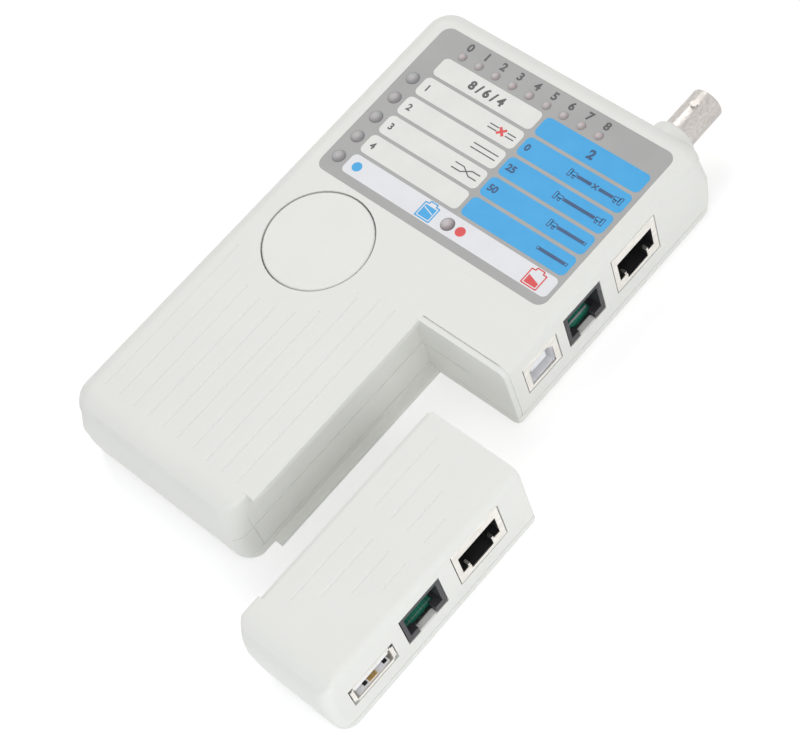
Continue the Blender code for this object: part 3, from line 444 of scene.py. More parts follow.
def case_plastic(name, light, dark, grain_size, grain_depth, roughness):
    """Moulded case plastic: satin grain, cloudy tone, faint rubbed streaks and a few specks."""
    finish = Finish(name)
    cloud = finish.noise(16.0, 3.0)
    grain = finish.noise(grain_size, 2.0)
    rub = finish.between(finish.noise(2.2, 4.0, (1.0, 0.22, 1.0)), 0.60, 0.80)
    speck = finish.between(finish.noise(0.55, 1.0), 0.765, 0.80)
    tone = finish.mix(finish.between(cloud, 0.30, 0.70), dark, light)
    finish.set({"Base Color": finish.mix(speck * 0.30, tone, SPECK_GREY)})
    finish.relief(grain + 0.3 * cloud, grain_depth, 0.6)
    return finish.set(
        {
            "Roughness": roughness + 0.10 * cloud + 0.08 * grain - 0.07 * rub,
            "IOR": 1.50,
            "Subsurface Weight": 0.06,
            "Subsurface Radius": (1.0, 0.9, 0.7),
            "Subsurface Scale": 0.0008,
        }
    )


def panel_film(name):
    """The legend panel's grey film: fine print dots, a satin varnish with light scratches."""
    finish = Finish(name)
    cloud = finish.noise(11.0, 3.0)
    dots = finish.noise(0.16, 1.0)
    scratch = finish.between(finish.noise(0.5, 3.0, (0.10, 2.2, 1.0)), 0.66, 0.74)
    tone = finish.mix(finish.between(cloud, 0.30, 0.70), PANEL_DARK, PANEL_GREY)
    finish.set({"Base Color": finish.mix(dots * 0.30, tone, shade(PANEL_GREY, 1.20))})
    finish.relief(0.6 * dots + scratch, 0.006, 0.5)
    return finish.set({"Roughness": 0.36 + 0.14 * cloud + 0.10 * scratch, "Coat Roughness": 0.30})


def printed_ink(name, light, dark, roughness=0.42):
    """Screen-printed ink: slightly uneven cover with a fine mesh mark."""
    finish = Finish(name)
    cover = finish.noise(4.5, 4.0)
    mesh_mark = finish.noise(0.14, 1.0)
    tone = finish.mix(finish.between(cover, 0.30, 0.72), dark, light)
    finish.set({"Base Color": finish.mix(mesh_mark * 0.22, tone, shade(dark, 0.90))})
    finish.relief(mesh_mark + cover, 0.006, 0.5)
    return finish.set({"Roughness": roughness + 0.12 * mesh_mark - 0.06 * cover})


def cloudy_lens(name, pale, deep):
    """A lamp's cloudy lens in painted light: pale is its painted lit tone and deep its painted shaded tone; a
    paler painted highlight sits off the middle on the key light's side, and painted shade darkens the lens
    from there to its rim, most on the socket side.
    """
    finish = Finish(name)
    spot = finish.node("TexCoord", output="Generated")
    from_middle = finish.node("VectorMath", {"operation": "SUBTRACT"}, {0: spot, 1: LENS_PAINTED_HIGHLIGHT_PLACE})
    flat = finish.node("VectorMath", {"operation": "MULTIPLY"}, {0: from_middle, 1: (2.0, 2.0, 0.0)})
    reach = finish.node("VectorMath", {"operation": "LENGTH"}, {0: flat}, "Value")
    swirl = finish.noise(0.6, 3.0)
    # Painted shade: the lens darkens from the painted highlight's place out to its rim.
    painted_rim_shade = finish.between(reach + 0.10 * swirl, 0.35, 1.30)
    # Painted highlight: a paler spot round that place.
    painted_highlight = 1.0 - finish.between(reach + 0.20 * swirl, 0.10, 0.42)
    tone = finish.mix(painted_rim_shade, pale, deep)
    finish.set({"Base Color": finish.mix(painted_highlight * 0.35, tone, shade(pale, 1.2))})
    finish.relief(swirl, 0.010, 0.4)
    return finish.set(
        {
            "Roughness": 0.36 + 0.16 * swirl,
            "IOR": 1.45,
            "Subsurface Weight": 0.20,
            "Subsurface Scale": 0.0010,
        }
    )


def plated_metal(name, light, dark, roughness, streak, grain_depth, grain_size=0.25):
    """Plated metal: drawing streaks along one axis, fine pits and duller patches."""
    finish = Finish(name)
    lines = finish.noise(0.35, 4.0, streak)
    pits = finish.noise(grain_size, 2.0)
    dull = finish.between(finish.noise(2.6, 4.0), 0.42, 0.68)
    tone = finish.mix(finish.between(lines, 0.25, 0.75), dark, light)
    finish.set({"Base Color": finish.mix(dull * 0.35, tone, dark)})
    finish.relief(lines + 0.7 * pits, grain_depth, 0.6)
    return finish.set({"Metallic": 1.0, "Roughness": roughness + 0.14 * dull + 0.10 * lines})


def moulded_plastic(name, light, dark, roughness):
    """Socket housing plastic: fine spark grain with dusty flats."""
    finish = Finish(name)
    grain = finish.noise(0.20, 2.0)
    dust = finish.between(finish.noise(1.6, 5.0), 0.50, 0.80)
    tone = finish.mix(finish.noise(5.0, 2.0), dark, light)
    finish.set({"Base Color": finish.mix(dust * 0.25, tone, shade(light, 1.5))})
    finish.relief(grain, 0.012, 0.5)
    return finish.set({"Roughness": roughness + 0.12 * dust + 0.08 * grain})


def green_board(name):
    """Circuit board: lacquered green with lighter tracks and pale printed marks."""
    finish = Finish(name)
    weave = finish.noise(0.30, 2.0, (1.0, 0.5, 1.0))
    settings = {"wave_type": "BANDS", "bands_direction": "Y"}
    wave = {"Vector": finish.position, "Scale": 0.32, "Distortion": 1.6, "Detail": 1.0, "Detail Scale": 0.15}
    tracks = finish.between(finish.node("TexWave", settings, wave, "Fac"), 0.62, 0.70)
    across = dict(wave, Scale=0.20, Distortion=0.6)
    marks = finish.between(finish.node("TexWave", {"bands_direction": "X"}, across, "Fac"), 0.955, 0.975)
    tone = finish.mix(tracks, BOARD_GREEN, TRACK_GREEN)
    finish.set({"Base Color": finish.mix(marks * 0.85, tone, BOARD_PRINT)})
    finish.relief(tracks + 0.25 * weave, 0.030, 0.7)
    return finish.set({"Roughness": 0.30 + 0.16 * weave, "Coat Weight": 0.30, "Coat Roughness": 0.15})


def battery_wrap(name):
    """A plain battery's jacket: a dark part and a copper-coloured part, with faint wrinkles."""
    finish = Finish(name)
    along = finish.node("SeparateXYZ", None, {0: finish.position}, "Y")
    wrinkle = finish.noise(2.0, 4.0, (1.0, 0.3, 1.0))
    band = finish.between(along, *JACKET_BAND)
    tone = finish.mix(band, JACKET_DARK, JACKET_COPPER)
    finish.set({"Base Color": finish.mix(wrinkle * 0.15, tone, JACKET_WORN)})
    finish.relief(wrinkle, 0.020, 0.5)
    return finish.set({"Metallic": 0.25 + 0.5 * band, "Roughness": 0.30 + 0.18 * wrinkle})


CASE = case_plastic("case_satin", WARM_WHITE, shade(WARM_WHITE, 0.982), 0.24, 0.010, 0.40)
BUTTON = case_plastic("button_satin", shade(WARM_WHITE, 1.01), shade(WARM_WHITE, 0.98), 0.18, 0.007, 0.36)
COVER = case_plastic("cover_satin", shade(WARM_WHITE, 0.98), SHADED_WHITE, 0.26, 0.012, 0.44)
FILM = panel_film("panel_film")
# Lamp lenses, each with a painted highlight and painted shade.
STATE_LENS = cloudy_lens("state_lens", STATE_PAINTED_LIT, STATE_PAINTED_SHADE)
PIN_LENS = cloudy_lens("pin_lens", PIN_PAINTED_LIT, PIN_PAINTED_SHADE)
LOW_LENS = cloudy_lens("low_battery_lens", LOW_PAINTED_LIT, LOW_PAINTED_SHADE)
NICKEL = plated_metal("coax_nickel", NICKEL_LIGHT, NICKEL_DARK, 0.28, (1.0, 0.35, 1.0), 0.020, 0.26)
TIN = plated_metal("shield_tin", TIN_LIGHT, TIN_DARK, 0.26, (1.0, 0.12, 1.0), 0.008)
GILT = plated_metal("contact_gilt", GILT_LIGHT, GILT_DARK, 0.22, (0.15, 1.0, 1.0), 0.005)
ZINC = plated_metal("screw_zinc", ZINC_LIGHT, ZINC_DARK, 0.30, (1.0, 1.0, 0.3), 0.012)
BLACK = moulded_plastic("socket_black", BLACK_LIGHT, BLACK_DARK, 0.42)
SLATE = moulded_plastic("phone_slate", SLATE_LIGHT, SLATE_DARK, 0.44)
MILK = moulded_plastic("core_milk", MILK_LIGHT, MILK_DARK, 0.40)
BOARD = green_board("board_green")
JACKET = battery_wrap("battery_jacket")
LEGEND_INK = printed_ink("ink_white", LEGEND_WHITE, LEGEND_SHADE)
COOL_INK = printed_ink("ink_cool_white", LEGEND_COOL, shade(LEGEND_COOL, 0.975))
BLUE_INK = printed_ink("ink_blue", COAX_BLUE, COAX_BLUE_DEEP, 0.38)
GREY_INK = printed_ink("ink_grey", INK_GREY, shade(INK_GREY, 0.7))
NAVY_INK = printed_ink("ink_navy", INK_NAVY, shade(INK_NAVY, 0.75))
RED_INK = printed_ink("ink_red", INK_RED, shade(INK_RED, 0.85))

# CAD nodes that keep their own shape, by finish.
KEPT = [
    (BOARD, ["main_board", "display_board", "remote_board"]),
    (BLACK, ["test_switch", "board_link", "battery_snap"]),
    (BLACK, ["master_ethernet_insert", "remote_ethernet_insert"]),
    (SLATE, ["master_phone_socket", "remote_phone_socket"]),
    (MILK, ["master_usb_core", "remote_usb_tongue", "coax_insulator"]),
    (GILT, ["master_ethernet_contacts", "remote_ethernet_contacts"]),
    (GILT, ["master_phone_contacts", "remote_phone_contacts", "coax_contact"]),
    (JACKET, ["battery_9v"]),
    (COVER, ["battery_cover"]),
]

# CAD nodes shown by a copy with rounded edges: node, finish, body, slot, edge radius.
ROUNDED = [
    ("master_top_shell", CASE, "main_unit", "case_plastic", 0.12),
    ("master_bottom_shell", CASE, "main_unit", "case_plastic", 0.18),
    ("remote_top_shell", CASE, "remote", "case_plastic", 0.12),
    ("remote_bottom_shell", CASE, "remote", "case_plastic", 0.18),
    ("test_button", BUTTON, "button", "button_plastic", 0.20),
    ("coax_barrel", NICKEL, "main_unit", "nickel", 0.10),
    ("master_ethernet_shield", TIN, "main_unit", "shield_metal", 0.08),
    ("master_usb_shield", TIN, "main_unit", "shield_metal", 0.08),
    ("remote_ethernet_shield", TIN, "remote", "shield_metal", 0.08),
    ("remote_usb_shield", TIN, "remote", "shield_metal", 0.08),
]


def rounded_copy(node, finish, body, slot, edge):
    """Stands for a CAD node: its welded mesh with smooth curves and softly rounded edges."""
    mesh = frame["nodes"][node].data.copy()
    shape = bmesh.new()
    shape.from_mesh(mesh)
    bmesh.ops.remove_doubles(shape, verts=shape.verts, dist=WELD * MM)
    if "shell" in node:
        close_seam(shape)
    if node == "master_top_shell":
        deepen_lines(shape)
    flat = math.radians(FLAT_ANGLE)
    bmesh.ops.dissolve_limit(shape, angle_limit=flat, verts=shape.verts, edges=shape.edges)
    for face in shape.faces:
        face.smooth = True
    if "top_shell" in node:
        keep_grooves_crisp(shape)
    shape.to_mesh(mesh)
    shape.free()
    mesh.materials.clear()
    mesh.materials.append(finish)
    piece = bpy.data.objects.new(node + "_moulded", mesh)
    bpy.context.scene.collection.objects.link(piece)
    round_edges(piece, edge)
    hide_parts(node)
    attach(piece, body)


def lies_at(value, places):
    """Whether a value is at one of some places."""
    return any(abs(value - at) < SAME_PLACE for at in places)


def deepen_lines(shape):
    """Deepens the two shadow lines by the step, so that they look as dark as on the real case."""
    for vertex in shape.verts:
        y = vertex.co.y / MM + PLAN_MIDDLE[1]
        z = vertex.co.z / MM
        if lies_at(y, TOP_LINE_EDGES) and lies_at(z, [TOP_LINE_FLOOR]):
            vertex.co.z -= TOP_LINE_EXTRA * MM
        if lies_at(y, [FACE_LINE_BACK]) and lies_at(z, FACE_LINE_EDGES):
            vertex.co.y += FACE_LINE_EXTRA * MM


def keep_grooves_crisp(shape):
    """Marks the edges of a top shell's grooves as sharp, so that each shows a lit and a shaded side."""
    for vertex in shape.verts:
        if lies_at(vertex.co.z / MM, [GROOVE_FLOOR]):
            for face in vertex.link_faces:
                for edge in face.edges:
                    edge.smooth = False


def close_seam(shape):
    """Moves a shell's seam face towards the other shell, so that the seam is as fine as on the real case."""
    for vertex in shape.verts:
        for solid_height, shown_height in SEAM_FACES:
            if lies_at(vertex.co.z / MM, [solid_height]):
                vertex.co.z = shown_height * MM
                break


def round_edges(piece, edge):
    """Rounds the sharp edges by edge millimetres and keeps the flat faces flat."""
    bevel = piece.modifiers.new("edges", "BEVEL")
    bevel.width = edge * MM
    bevel.segments = 2
    bevel.limit_method = "ANGLE"
    bevel.angle_limit = math.radians(SHARP_ANGLE)
    bevel.harden_normals = True
    weighted = piece.modifiers.new("flats", "WEIGHTED_NORMAL")
    weighted.keep_sharp = True


def piece_of(name, mesh, finish, body):
    """Links a mesh as a piece that rides on a body."""
    mesh.materials.append(finish)
    piece = bpy.data.objects.new(name, mesh)
    bpy.context.scene.collection.objects.link(piece)
    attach(piece, body)
    return piece


def lamp_dome(node, radius, lens):
    """A lamp's dome on its collar, turned round the lamp's own middle; its brim covers the hole's edge."""
    low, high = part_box(node)
    middle = (low + high) / 2
    outer = (high.x - low.x) / 2
    collar = low.z + LAMP_COLLAR * MM
    foot = LAMP_FOOT * MM
    rise = high.z - foot
    body = radius * MM
    brim = (radius + LAMP_OVERHANG) * MM
    profile = [(0.0, low.z), (outer, low.z), (outer, collar), (body, collar), (body, foot)]
    for i in range(LAMP_RINGS):
        share = 1 - i / LAMP_RINGS
        profile.append((brim * share, foot + rise * (1 - share**LAMP_FULLNESS)))
    profile.append((0.0, high.z))
    piece = piece_of(node + "_dome", turned(node, profile, middle), lens, "main_unit")
    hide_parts(node)


def turned(name, profile, middle):
    """A mesh turned round a vertical axis; the profile starts and ends on the axis."""
    mesh = bpy.data.meshes.new(name)
    shape = bmesh.new()
    rings = []
    for radius, z in profile[1:-1]:
        ring = []
        for i in range(LAMP_TURNS):
            turn = 2 * math.pi * i / LAMP_TURNS
            x = middle.x + radius * math.cos(turn)
            y = middle.y + radius * math.sin(turn)
            ring.append(shape.verts.new((x, y, z)))
        rings.append(ring)
    foot = shape.verts.new((middle.x, middle.y, profile[0][1]))
    tip = shape.verts.new((middle.x, middle.y, profile[-1][1]))
    for i in range(LAMP_TURNS):
        j = (i + 1) % LAMP_TURNS
        shape.faces.new((foot, rings[0][j], rings[0][i]))
        shape.faces.new((tip, rings[-1][i], rings[-1][j]))
        for lower, upper in zip(rings, rings[1:]):
            shape.faces.new((lower[i], lower[j], upper[j], upper[i]))
    for face in shape.faces:
        face.smooth = face.calc_center_median().z > LAMP_FOOT * MM
    shape.to_mesh(mesh)
    shape.free()
    return mesh


def add_panel():
    """The legend panel's film: it fills its recess, with a hole for each lamp."""
    low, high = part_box("label_panel")
    left, right, near, far = plan_box("label_panel")
    reach = PANEL_REACH
    outlines = [pill(left - reach, right + reach, near - reach, far + reach, PANEL_CORNER)]
    for name in frame["nodes"]:
        if "_lamp" in name:
            lamp_left, lamp_right, _, _ = plan_box(name)
            outlines.append(disc(*plan_middle(name), (lamp_right - lamp_left) / 2 - LAMP_HOLE_INSET))
    mesh = slab_with_holes("legend_panel", outlines, low.z / MM, high.z / MM)
    piece = piece_of("legend_panel", mesh, FILM, "main_unit")
    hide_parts("label_panel")


def slab_with_holes(name, outlines, low, high):
    """A slab between two heights: its outer outline on the plan comes first, then those of its holes."""
    curve = bpy.data.curves.new(name, "CURVE")
    curve.dimensions = "2D"
    curve.fill_mode = "BOTH"
    curve.extrude = DRAFT_HALF
    for outline in outlines:
        spline = curve.splines.new("POLY")
        spline.points.add(len(outline) - 1)
        for point, (x, y) in zip(spline.points, outline):
            point.co = (x, y, 0.0, 1.0)
        spline.use_cyclic_u = True
    mesh = mesh_of(curve)
    for vertex in mesh.vertices:
        x, y, side = vertex.co
        vertex.co = place(x, y, high if side > 0 else low)
    return mesh


def mesh_of(curve):
    """A curve's mesh, welded; the curve's own object goes again."""
    draft = bpy.data.objects.new(curve.name + "_draft", curve)
    bpy.context.scene.collection.objects.link(draft)
    bpy.context.view_layer.update()
    mesh = bpy.data.meshes.new_from_object(draft)
    bpy.data.objects.remove(draft)
    shape = bmesh.new()
    shape.from_mesh(mesh)
    bmesh.ops.remove_doubles(shape, verts=shape.verts, dist=DRAFT_WELD)
    bmesh.ops.recalc_face_normals(shape, faces=shape.faces)
    shape.to_mesh(mesh)
    shape.free()
    mesh.materials.clear()
    return mesh


def print_on(name, outlines, finish, level=0):
    """Ink on the legend panel: each outline becomes a thin closed slab; level lifts it over other ink."""
    mesh = bpy.data.meshes.new(name)
    shape = bmesh.new()
    low = PANEL_TOP + INK * level - INK_SUNK
    high = PANEL_TOP + INK * (level + 1)
    for outline in outlines:
        bottom = [shape.verts.new(place(x, y, low)) for x, y in outline]
        top = [shape.verts.new(place(x, y, high)) for x, y in outline]
        shape.faces.new(list(reversed(bottom)))
        shape.faces.new(top)
        for i in range(len(outline)):
            j = (i + 1) % len(outline)
            shape.faces.new((bottom[i], bottom[j], top[j], top[i]))
    shape.to_mesh(mesh)
    shape.free()
    piece_of(name, mesh, finish, "main_unit")


def pill(left, right, low, high, corner=ROW_CORNER, steps=7):
    """A rounded box's outline, counter-clockwise."""
    points = []
    middles = [(right - corner, low + corner), (right - corner, high - corner)]
    middles += [(left + corner, high - corner), (left + corner, low + corner)]
    for quarter, (x, y) in enumerate(middles):
        for i in range(steps + 1):
            turn = math.pi / 2 * (quarter - 1 + i / steps)
            points.append((x + corner * math.cos(turn), y + corner * math.sin(turn)))
    return points


def disc(x, y, radius, steps=36):
    """A round dot's outline."""
    turns = [2 * math.pi * i / steps for i in range(steps)]
    return [(x + radius * math.cos(turn), y + radius * math.sin(turn)) for turn in turns]


def bar(left, right, low, high):
    """A box's outline, counter-clockwise."""
    return [(left, low), (right, low), (right, high), (left, high)]


def stroke(start, end, width=STROKE):
    """A straight line's outline, width across."""
    run = Vector(end) - Vector(start)
    side = Vector((-run.y, run.x)).normalized() * width / 2
    corners = [Vector(start) - side, Vector(end) - side, Vector(end) + side, Vector(start) + side]
    return [tuple(corner) for corner in corners]


def path(points, width=STROKE):
    """A bent line's outline, width across; its sides turn halfway at each bend."""
    sides = []
    for i, point in enumerate(points):
        before = Vector(points[max(i - 1, 0)])
        after = Vector(points[min(i + 1, len(points) - 1)])
        run = (after - before).normalized()
        sides.append((Vector(point), Vector((-run.y, run.x)) * width / 2))
    there = [tuple(point - side) for point, side in sides]
    back = [tuple(point + side) for point, side in reversed(sides)]
    return there + back


def cross(x, y, reach, width):
    """An upright cross turned by an eighth, as one outline."""
    half = width / 2
    arms = [(half, half), (reach, half), (reach, -half), (half, -half)]
    points = []
    for quarter in range(4):
        turn = math.pi / 4 - quarter * math.pi / 2
        for a, b in arms[1:]:
            across = x + a * math.cos(turn) - b * math.sin(turn)
            up = y + a * math.sin(turn) + b * math.cos(turn)
            points.append((across, up))
    return list(reversed(points))


def hollow_bar(left, right, low, high, width=PLUG_STROKE):
    """The four strokes round a box."""
    return [
        bar(left, right, low, low + width),
        bar(left, right, high - width, high),
        bar(left, left + width, low + width, high - width),
        bar(right - width, right, low + width, high - width),
    ]


def number(name, text, x, y, height, finish, level, align="LEFT", bold=0.0):
    """A plain number printed on the panel; x is its left edge or middle, y its base line."""
    curve = bpy.data.curves.new(name, "FONT")
    curve.body = text
    curve.align_x = align
    curve.bevel_depth = bold
    curve.bevel_resolution = 0
    curve.extrude = DRAFT_HALF
    mesh = mesh_of(curve)
    top = max(vertex.co.y for vertex in mesh.vertices)
    low = PANEL_TOP + INK * level - INK_SUNK
    high = PANEL_TOP + INK * (level + 1)
    for vertex in mesh.vertices:
        across = x + vertex.co.x * height / top
        up = y + vertex.co.y * height / top
        vertex.co = place(across, up, high if vertex.co.z > 0 else low)
    piece_of(name, mesh, finish, "main_unit")


def row_at(row):
    """Lowest and highest y of a legend row."""
    low = ROW_START + ROW_PITCH * row
    return low, low + ROW_HEIGHT


def row_middle(row):
    """The y halfway up a legend row."""
    return sum(row_at(row)) / 2


def print_boxes():
    """The legend's boxes: a white and a blue column, and one wide box for the battery."""
    white = [pill(LEGEND_LEFT, LEGEND_SPLIT, *row_at(row)) for row in range(1, HEADER_ROW + 1)]
    blue = [pill(COAX_LEFT, COAX_RIGHT, *row_at(row)) for row in range(1, HEADER_ROW + 1)]
    print_on("legend_boxes_white", white, LEGEND_INK)
    print_on("legend_boxes_blue", blue, BLUE_INK)


def print_battery_row():
    """The battery row: a wide box with a hole for its lamp, and a dot and a mark for each state."""
    outline = pill(LEGEND_LEFT, BATTERY_BOX_RIGHT, *row_at(BATTERY_ROW))
    hole = disc(*plan_middle("low_battery_lamp"), STATE_LAMP_RADIUS + BATTERY_HOLE_MARGIN)
    mesh = slab_with_holes("legend_box_battery", [outline, hole], PANEL_TOP - INK_SUNK, PANEL_TOP + INK)
    piece_of("legend_box_battery", mesh, COOL_INK, "main_unit")
    print_on("dot_blue", [disc(FULL_DOT_X, DOT_Y, DOT_RADIUS)], BLUE_INK, 1)
    print_on("dot_red", [disc(LOW_DOT_X, DOT_Y, DOT_RADIUS)], RED_INK, 1)
    print_on("battery_mark_full", battery_mark(FULL_MARK_X, *FULL_LEVEL), BLUE_INK, 1)
    print_on("battery_mark_gleam", [stroke(*GLEAM, GLEAM_WIDTH)], COOL_INK, 2)
    print_on("battery_mark_low", battery_mark(LOW_MARK_X, *LOW_LEVEL), RED_INK, 1)


def battery_mark(x, left_top, right_top):
    """A battery about x: the strokes of a box with a neck, and a filling whose top may slant."""
    left, right = x - MARK_HALF, x + MARK_HALF
    neck_left, neck_right = x - MARK_NECK_HALF, x + MARK_NECK_HALF
    corners = [(left, MARK_LOW), (right, MARK_LOW), (right, MARK_SHOULDER), (neck_right, MARK_SHOULDER)]
    corners += [(neck_right, MARK_TOP), (neck_left, MARK_TOP)]
    corners += [(neck_left, MARK_SHOULDER), (left, MARK_SHOULDER), (left, MARK_LOW)]
    strokes = [stroke(start, end, MARK_STROKE) for start, end in zip(corners, corners[1:])]
    fill_left, fill_right = x - FILL_HALF, x + FILL_HALF
    filling = [(fill_left, FILL_LOW), (fill_right, FILL_LOW), (fill_right, right_top), (fill_left, left_top)]
    return strokes + [filling]


def print_wire_marks():
    """The marks of the white rows: joined wires, straight wires and crossed wires."""
    middle = row_middle(SHORTED_ROW)
    marks = []
    for y in (middle - SHORTED_HALF_GAP, middle + SHORTED_HALF_GAP):
        marks += [stroke((start, y), (end, y)) for start, end in SHORTED_WIRES]
    marks += [stroke((STRAIGHT_START, y), (WIRE_END, y)) for y in STRAIGHT_HEIGHTS]
    marks.append(crossed_wire(CROSSED_HIGH, CROSSED_LOW))
    print_on("wire_marks", marks, GREY_INK, 1)
    print_on("wire_mark_crossing", [crossed_wire(CROSSED_LOW, CROSSED_HIGH)], GREY_INK, 2)
    print_on("short_mark", [cross(SHORT_X, middle, SHORT_REACH, SHORT_WIDTH)], RED_INK, 1)


def crossed_wire(start, end):
    """A wire that changes from one height to another between its bends."""
    first_bend, second_bend = CROSSED_BENDS
    return path([(CROSSED_START, start), (first_bend, start), (second_bend, end), (WIRE_END, end)])


def plug_mark(x, y, way):
    """A plug seen from the side: flange, body and foot; way is 1 with the cable on its right."""
    strokes = []
    for start, end, low, high in PLUG_PARTS:
        left, right = sorted((x + way * start, x + way * end))
        strokes += hollow_bar(left, right, y + low, y + high)
    return strokes


def print_cable_marks():
    """The marks of the blue rows: a cable with a plug at both ends, at one end and at none."""
    for name, plugs in CABLE_PLUGS.items():
        strokes = []
        for row, x, way in plugs:
            strokes += plug_mark(x, row_middle(row) + CABLE_LIFT, way)
        print_on(name, strokes, NAVY_INK, 1)
    cables = []
    for row, left, right in CABLE_BARS:
        y = row_middle(row) + CABLE_LIFT
        cables.append(bar(left, right, y - CABLE_HALF, y + CABLE_HALF))
    print_on("cable_bars", cables, NAVY_INK, 2)
    y = row_middle(BREAK_ROW) + CABLE_LIFT
    print_on("cable_break", [cross(BREAK_X, y, BREAK_REACH, BREAK_WIDTH)], NAVY_INK, 2)
    half, half_height = BARE_END_HALF
    ends = []
    for row, x in BARE_ENDS:
        y = row_middle(row) + CABLE_LIFT
        ends.append(bar(x - half, x + half, y - half_height, y + half_height))
    print_on("cable_wire_ends", ends, BLUE_INK, 3)


def print_numbers():
    """Plain numbers: one over each pin lamp, one in each legend row, and the counts of ways."""
    for i in range(PIN_LAMPS):
        x, _ = plan_middle(f"pin_lamp_{i + 1}")
        name = f"pin_number_{i}"
        number(name, str(i), x, PIN_DIGIT_BASE, PIN_DIGIT_HEIGHT, GREY_INK, 0, "CENTER", PLAIN_BOLD)
    for row in range(1, HEADER_ROW):
        name = f"row_number_{row}"
        text = str(HEADER_ROW - row)
        y = row_middle(row) - ROW_DIGIT_HEIGHT / 2
        number(name, text, ROW_DIGIT_LEFT, y, ROW_DIGIT_HEIGHT, GREY_INK, 1, bold=ROW_BOLD)
    for row, text in OHM_NUMBERS:
        name = f"ohm_number_{row}"
        y = row_middle(row) - ROW_DIGIT_HEIGHT / 2
        number(name, text, OHM_NUMBER_LEFT, y, ROW_DIGIT_HEIGHT, NAVY_INK, 1, bold=PLAIN_BOLD)
    ways = [
        ("ways_number_sockets", SOCKET_WAYS, (LEGEND_LEFT + LEGEND_SPLIT) / 2, GREY_INK),
        ("ways_number_coax", COAX_WAYS, (COAX_LEFT + COAX_RIGHT) / 2, NAVY_INK),
    ]
    y = row_middle(HEADER_ROW) - HEADER_DIGIT_HEIGHT / 2
    for name, text, x, ink in ways:
        number(name, text, x, y, HEADER_DIGIT_HEIGHT, ink, 1, "CENTER", HEADER_BOLD)


def dress_nodes():
    """Gives each CAD node its finish, or its rounded copy."""
    for finish, nodes in KEPT:
        for node in nodes:
            materials = frame["nodes"][node].data.materials
            materials.clear()
            materials.append(finish)
    for name, node in frame["nodes"].items():
        if "_screw_" in name:
            node.data.materials.clear()
            node.data.materials.append(ZINC)
    for row in ROUNDED:
        rounded_copy(*row)


def add_lamps():
    """The nine pin lamps, the five state lamps and the low-battery lamp."""
    for i in range(PIN_LAMPS):
        lamp_dome(f"pin_lamp_{i + 1}", PIN_LAMP_RADIUS, PIN_LENS)
    for i in range(STATE_LAMPS):
        lamp_dome(f"state_lamp_{i + 1}", STATE_LAMP_RADIUS, STATE_LENS)
    lamp_dome("low_battery_lamp", STATE_LAMP_RADIUS, LOW_LENS)


def socket_plate(name, node, plate, turned_round=False, shift=0.0):
    """A plate's mesh in a socket; it may be turned round to the near side, or shifted along the wall."""
    _, mouth, _, _ = plan_box(node)
    _, socket_middle = plan_middle(node)
    middle = socket_middle + shift
    shallow, deep = plate["depths"]
    start, end = plate["reach"]
    if turned_round:
        start, end = -end, -start
    outline = pill(mouth - deep, mouth - shallow, middle + start, middle + end, plate["corner"])
    return slab_with_holes(name, [outline], *plate["heights"])


def add_phone_sills():
    """The pale sill in front of each six-way socket's board, seen through its latch slot."""
    for node, body in (("master_phone_socket", "main_unit"), ("remote_phone_socket", "remote")):
        name = node + "_sill"
        piece_of(name, socket_plate(name, node, SILL), CASE, body)


def add_board_line():
    """The white line printed on the main board, seen through the six-way socket."""
    mesh = socket_plate("board_line", "master_phone_socket", BOARD_LINE)
    piece_of("board_line", mesh, MILK, "main_unit")


def add_ground_springs():
    """Each eight-way socket's two sprung tabs, folded in at the ends of its mouth."""
    for node, body in (("master_ethernet_shield", "main_unit"), ("remote_ethernet_shield", "remote")):
        for side in ("near", "far"):
            name = f"{node}_spring_{side}"
            mesh = socket_plate(name, node, TAB, turned_round=side == "near")
            piece_of(name, mesh, TIN, body)


def add_usb_floor():
    """What shows in the flat USB socket's floor: a pale liner, two black plates that paint the shade in its
    spring windows, and a brass spring.
    """
    node = "remote_usb_shield"
    piece_of("usb_liner", socket_plate("usb_liner", node, USB_LINER), MILK, "remote")
    # Each black plate paints the shade of one spring window.
    for i, middle in enumerate(USB_PAINTED_WINDOW_SHADE_MIDDLES):
        name = f"usb_window_{i + 1}"
        mesh = socket_plate(name, node, USB_PAINTED_WINDOW_SHADE, shift=middle)
        piece_of(name, mesh, BLACK, "remote")
    piece_of("usb_spring", socket_plate("usb_spring", node, USB_SPRING), GILT, "remote")


def add_camera():
    """The camera, looking down at the step from the sockets' side and turned about its own line of sight."""
    turn = math.radians(AIM_TURN)
    rise = math.radians(AIM_RISE)
    out = Vector((math.sin(turn) * math.cos(rise), -math.cos(turn) * math.cos(rise), math.sin(rise)))
    side = Vector((0, 0, 1)).cross(out).normalized()
    over = out.cross(side)
    axes = Matrix((side, over, out)).transposed().to_4x4()
    data = bpy.data.cameras.new("camera")
    data.lens = LENS
    data.sensor_width = SENSOR
    data.sensor_fit = "HORIZONTAL"
    data.clip_start = 0.01
    camera = bpy.data.objects.new("camera", data)
    stand = Matrix.Translation(place(*AIM) + out * AIM_DISTANCE * MM)
    roll = Matrix.Rotation(math.radians(AIM_ROLL), 4, "Z")
    camera.matrix_world = stand @ axes @ roll
    bpy.context.scene.collection.objects.link(camera)
    bpy.context.scene.camera = camera


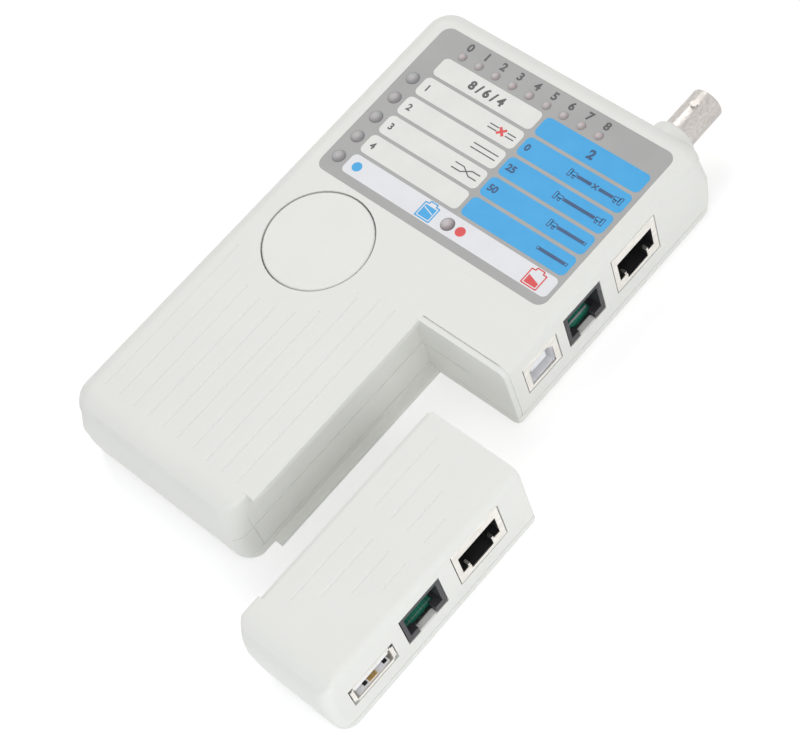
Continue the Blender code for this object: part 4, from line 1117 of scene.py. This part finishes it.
def add_soft_light(name, at, power, tint):
    """A soft square light at a point of the plan, turned to the point that the camera is aimed at."""
    data = bpy.data.lights.new(name, "AREA")
    data.shape = "SQUARE"
    data.size = LIGHT_WIDTH * MM
    data.energy = power
    data.color = tint
    light = bpy.data.objects.new(name, data)
    light.location = place(*at)
    line = place(*AIM) - light.location
    light.rotation_euler = line.to_track_quat("-Z", "Y").to_euler()
    bpy.context.scene.collection.objects.link(light)


def add_studio():
    """White surround for the camera, an even pale light all round, and the soft lights."""
    world = bpy.data.worlds.new("studio")
    bpy.context.scene.world = world
    world.use_nodes = True
    sky = Nodes(world.node_tree, "World")
    lit = sky.node("Background", None, {"Color": SKY_TINT, "Strength": SKY_POWER})
    white = sky.node("Background", None, {"Color": (1.0, 1.0, 1.0), "Strength": 1.0})
    sky.show(sky.node("MixShader", None, {0: sky.straight_rays(), 1: lit, 2: white}))
    for name, (at, power, tint) in SOFT_LIGHTS.items():
        add_soft_light(name, at, power, tint)


def add_floor():
    """A pale floor that shows white to the camera and keeps the shadow."""
    mesh = bpy.data.meshes.new("floor")
    half = FLOOR_HALF * MM
    corners = [(-half, -half, 0), (half, -half, 0), (half, half, 0), (-half, half, 0)]
    mesh.from_pydata(corners, [], [(0, 1, 2, 3)])
    floor = bpy.data.objects.new("floor", mesh)
    floor.location.z = -FLOOR_SUNK * MM
    finish = Finish("floor_paper")
    fibre = finish.noise(6.0, 3.0)
    finish.set({"Base Color": finish.mix(fibre, *FLOOR_GREYS), "Roughness": 0.85})
    glow = finish.node("Emission", None, {"Strength": FLOOR_GLOW * finish.straight_rays()})
    paper = Wire(finish, finish.shader.outputs[0])
    finish.show(finish.node("AddShader", None, {0: paper, 1: glow}))
    mesh.materials.append(finish.material)
    bpy.context.scene.collection.objects.link(floor)


dress_nodes()
add_panel()
add_lamps()
add_phone_sills()
add_board_line()
add_ground_springs()
add_usb_floor()
print_boxes()
print_battery_row()
print_wire_marks()
print_cable_marks()
print_numbers()
add_camera()
add_studio()
add_floor()
bpy.context.scene.view_settings.view_transform = "Standard"
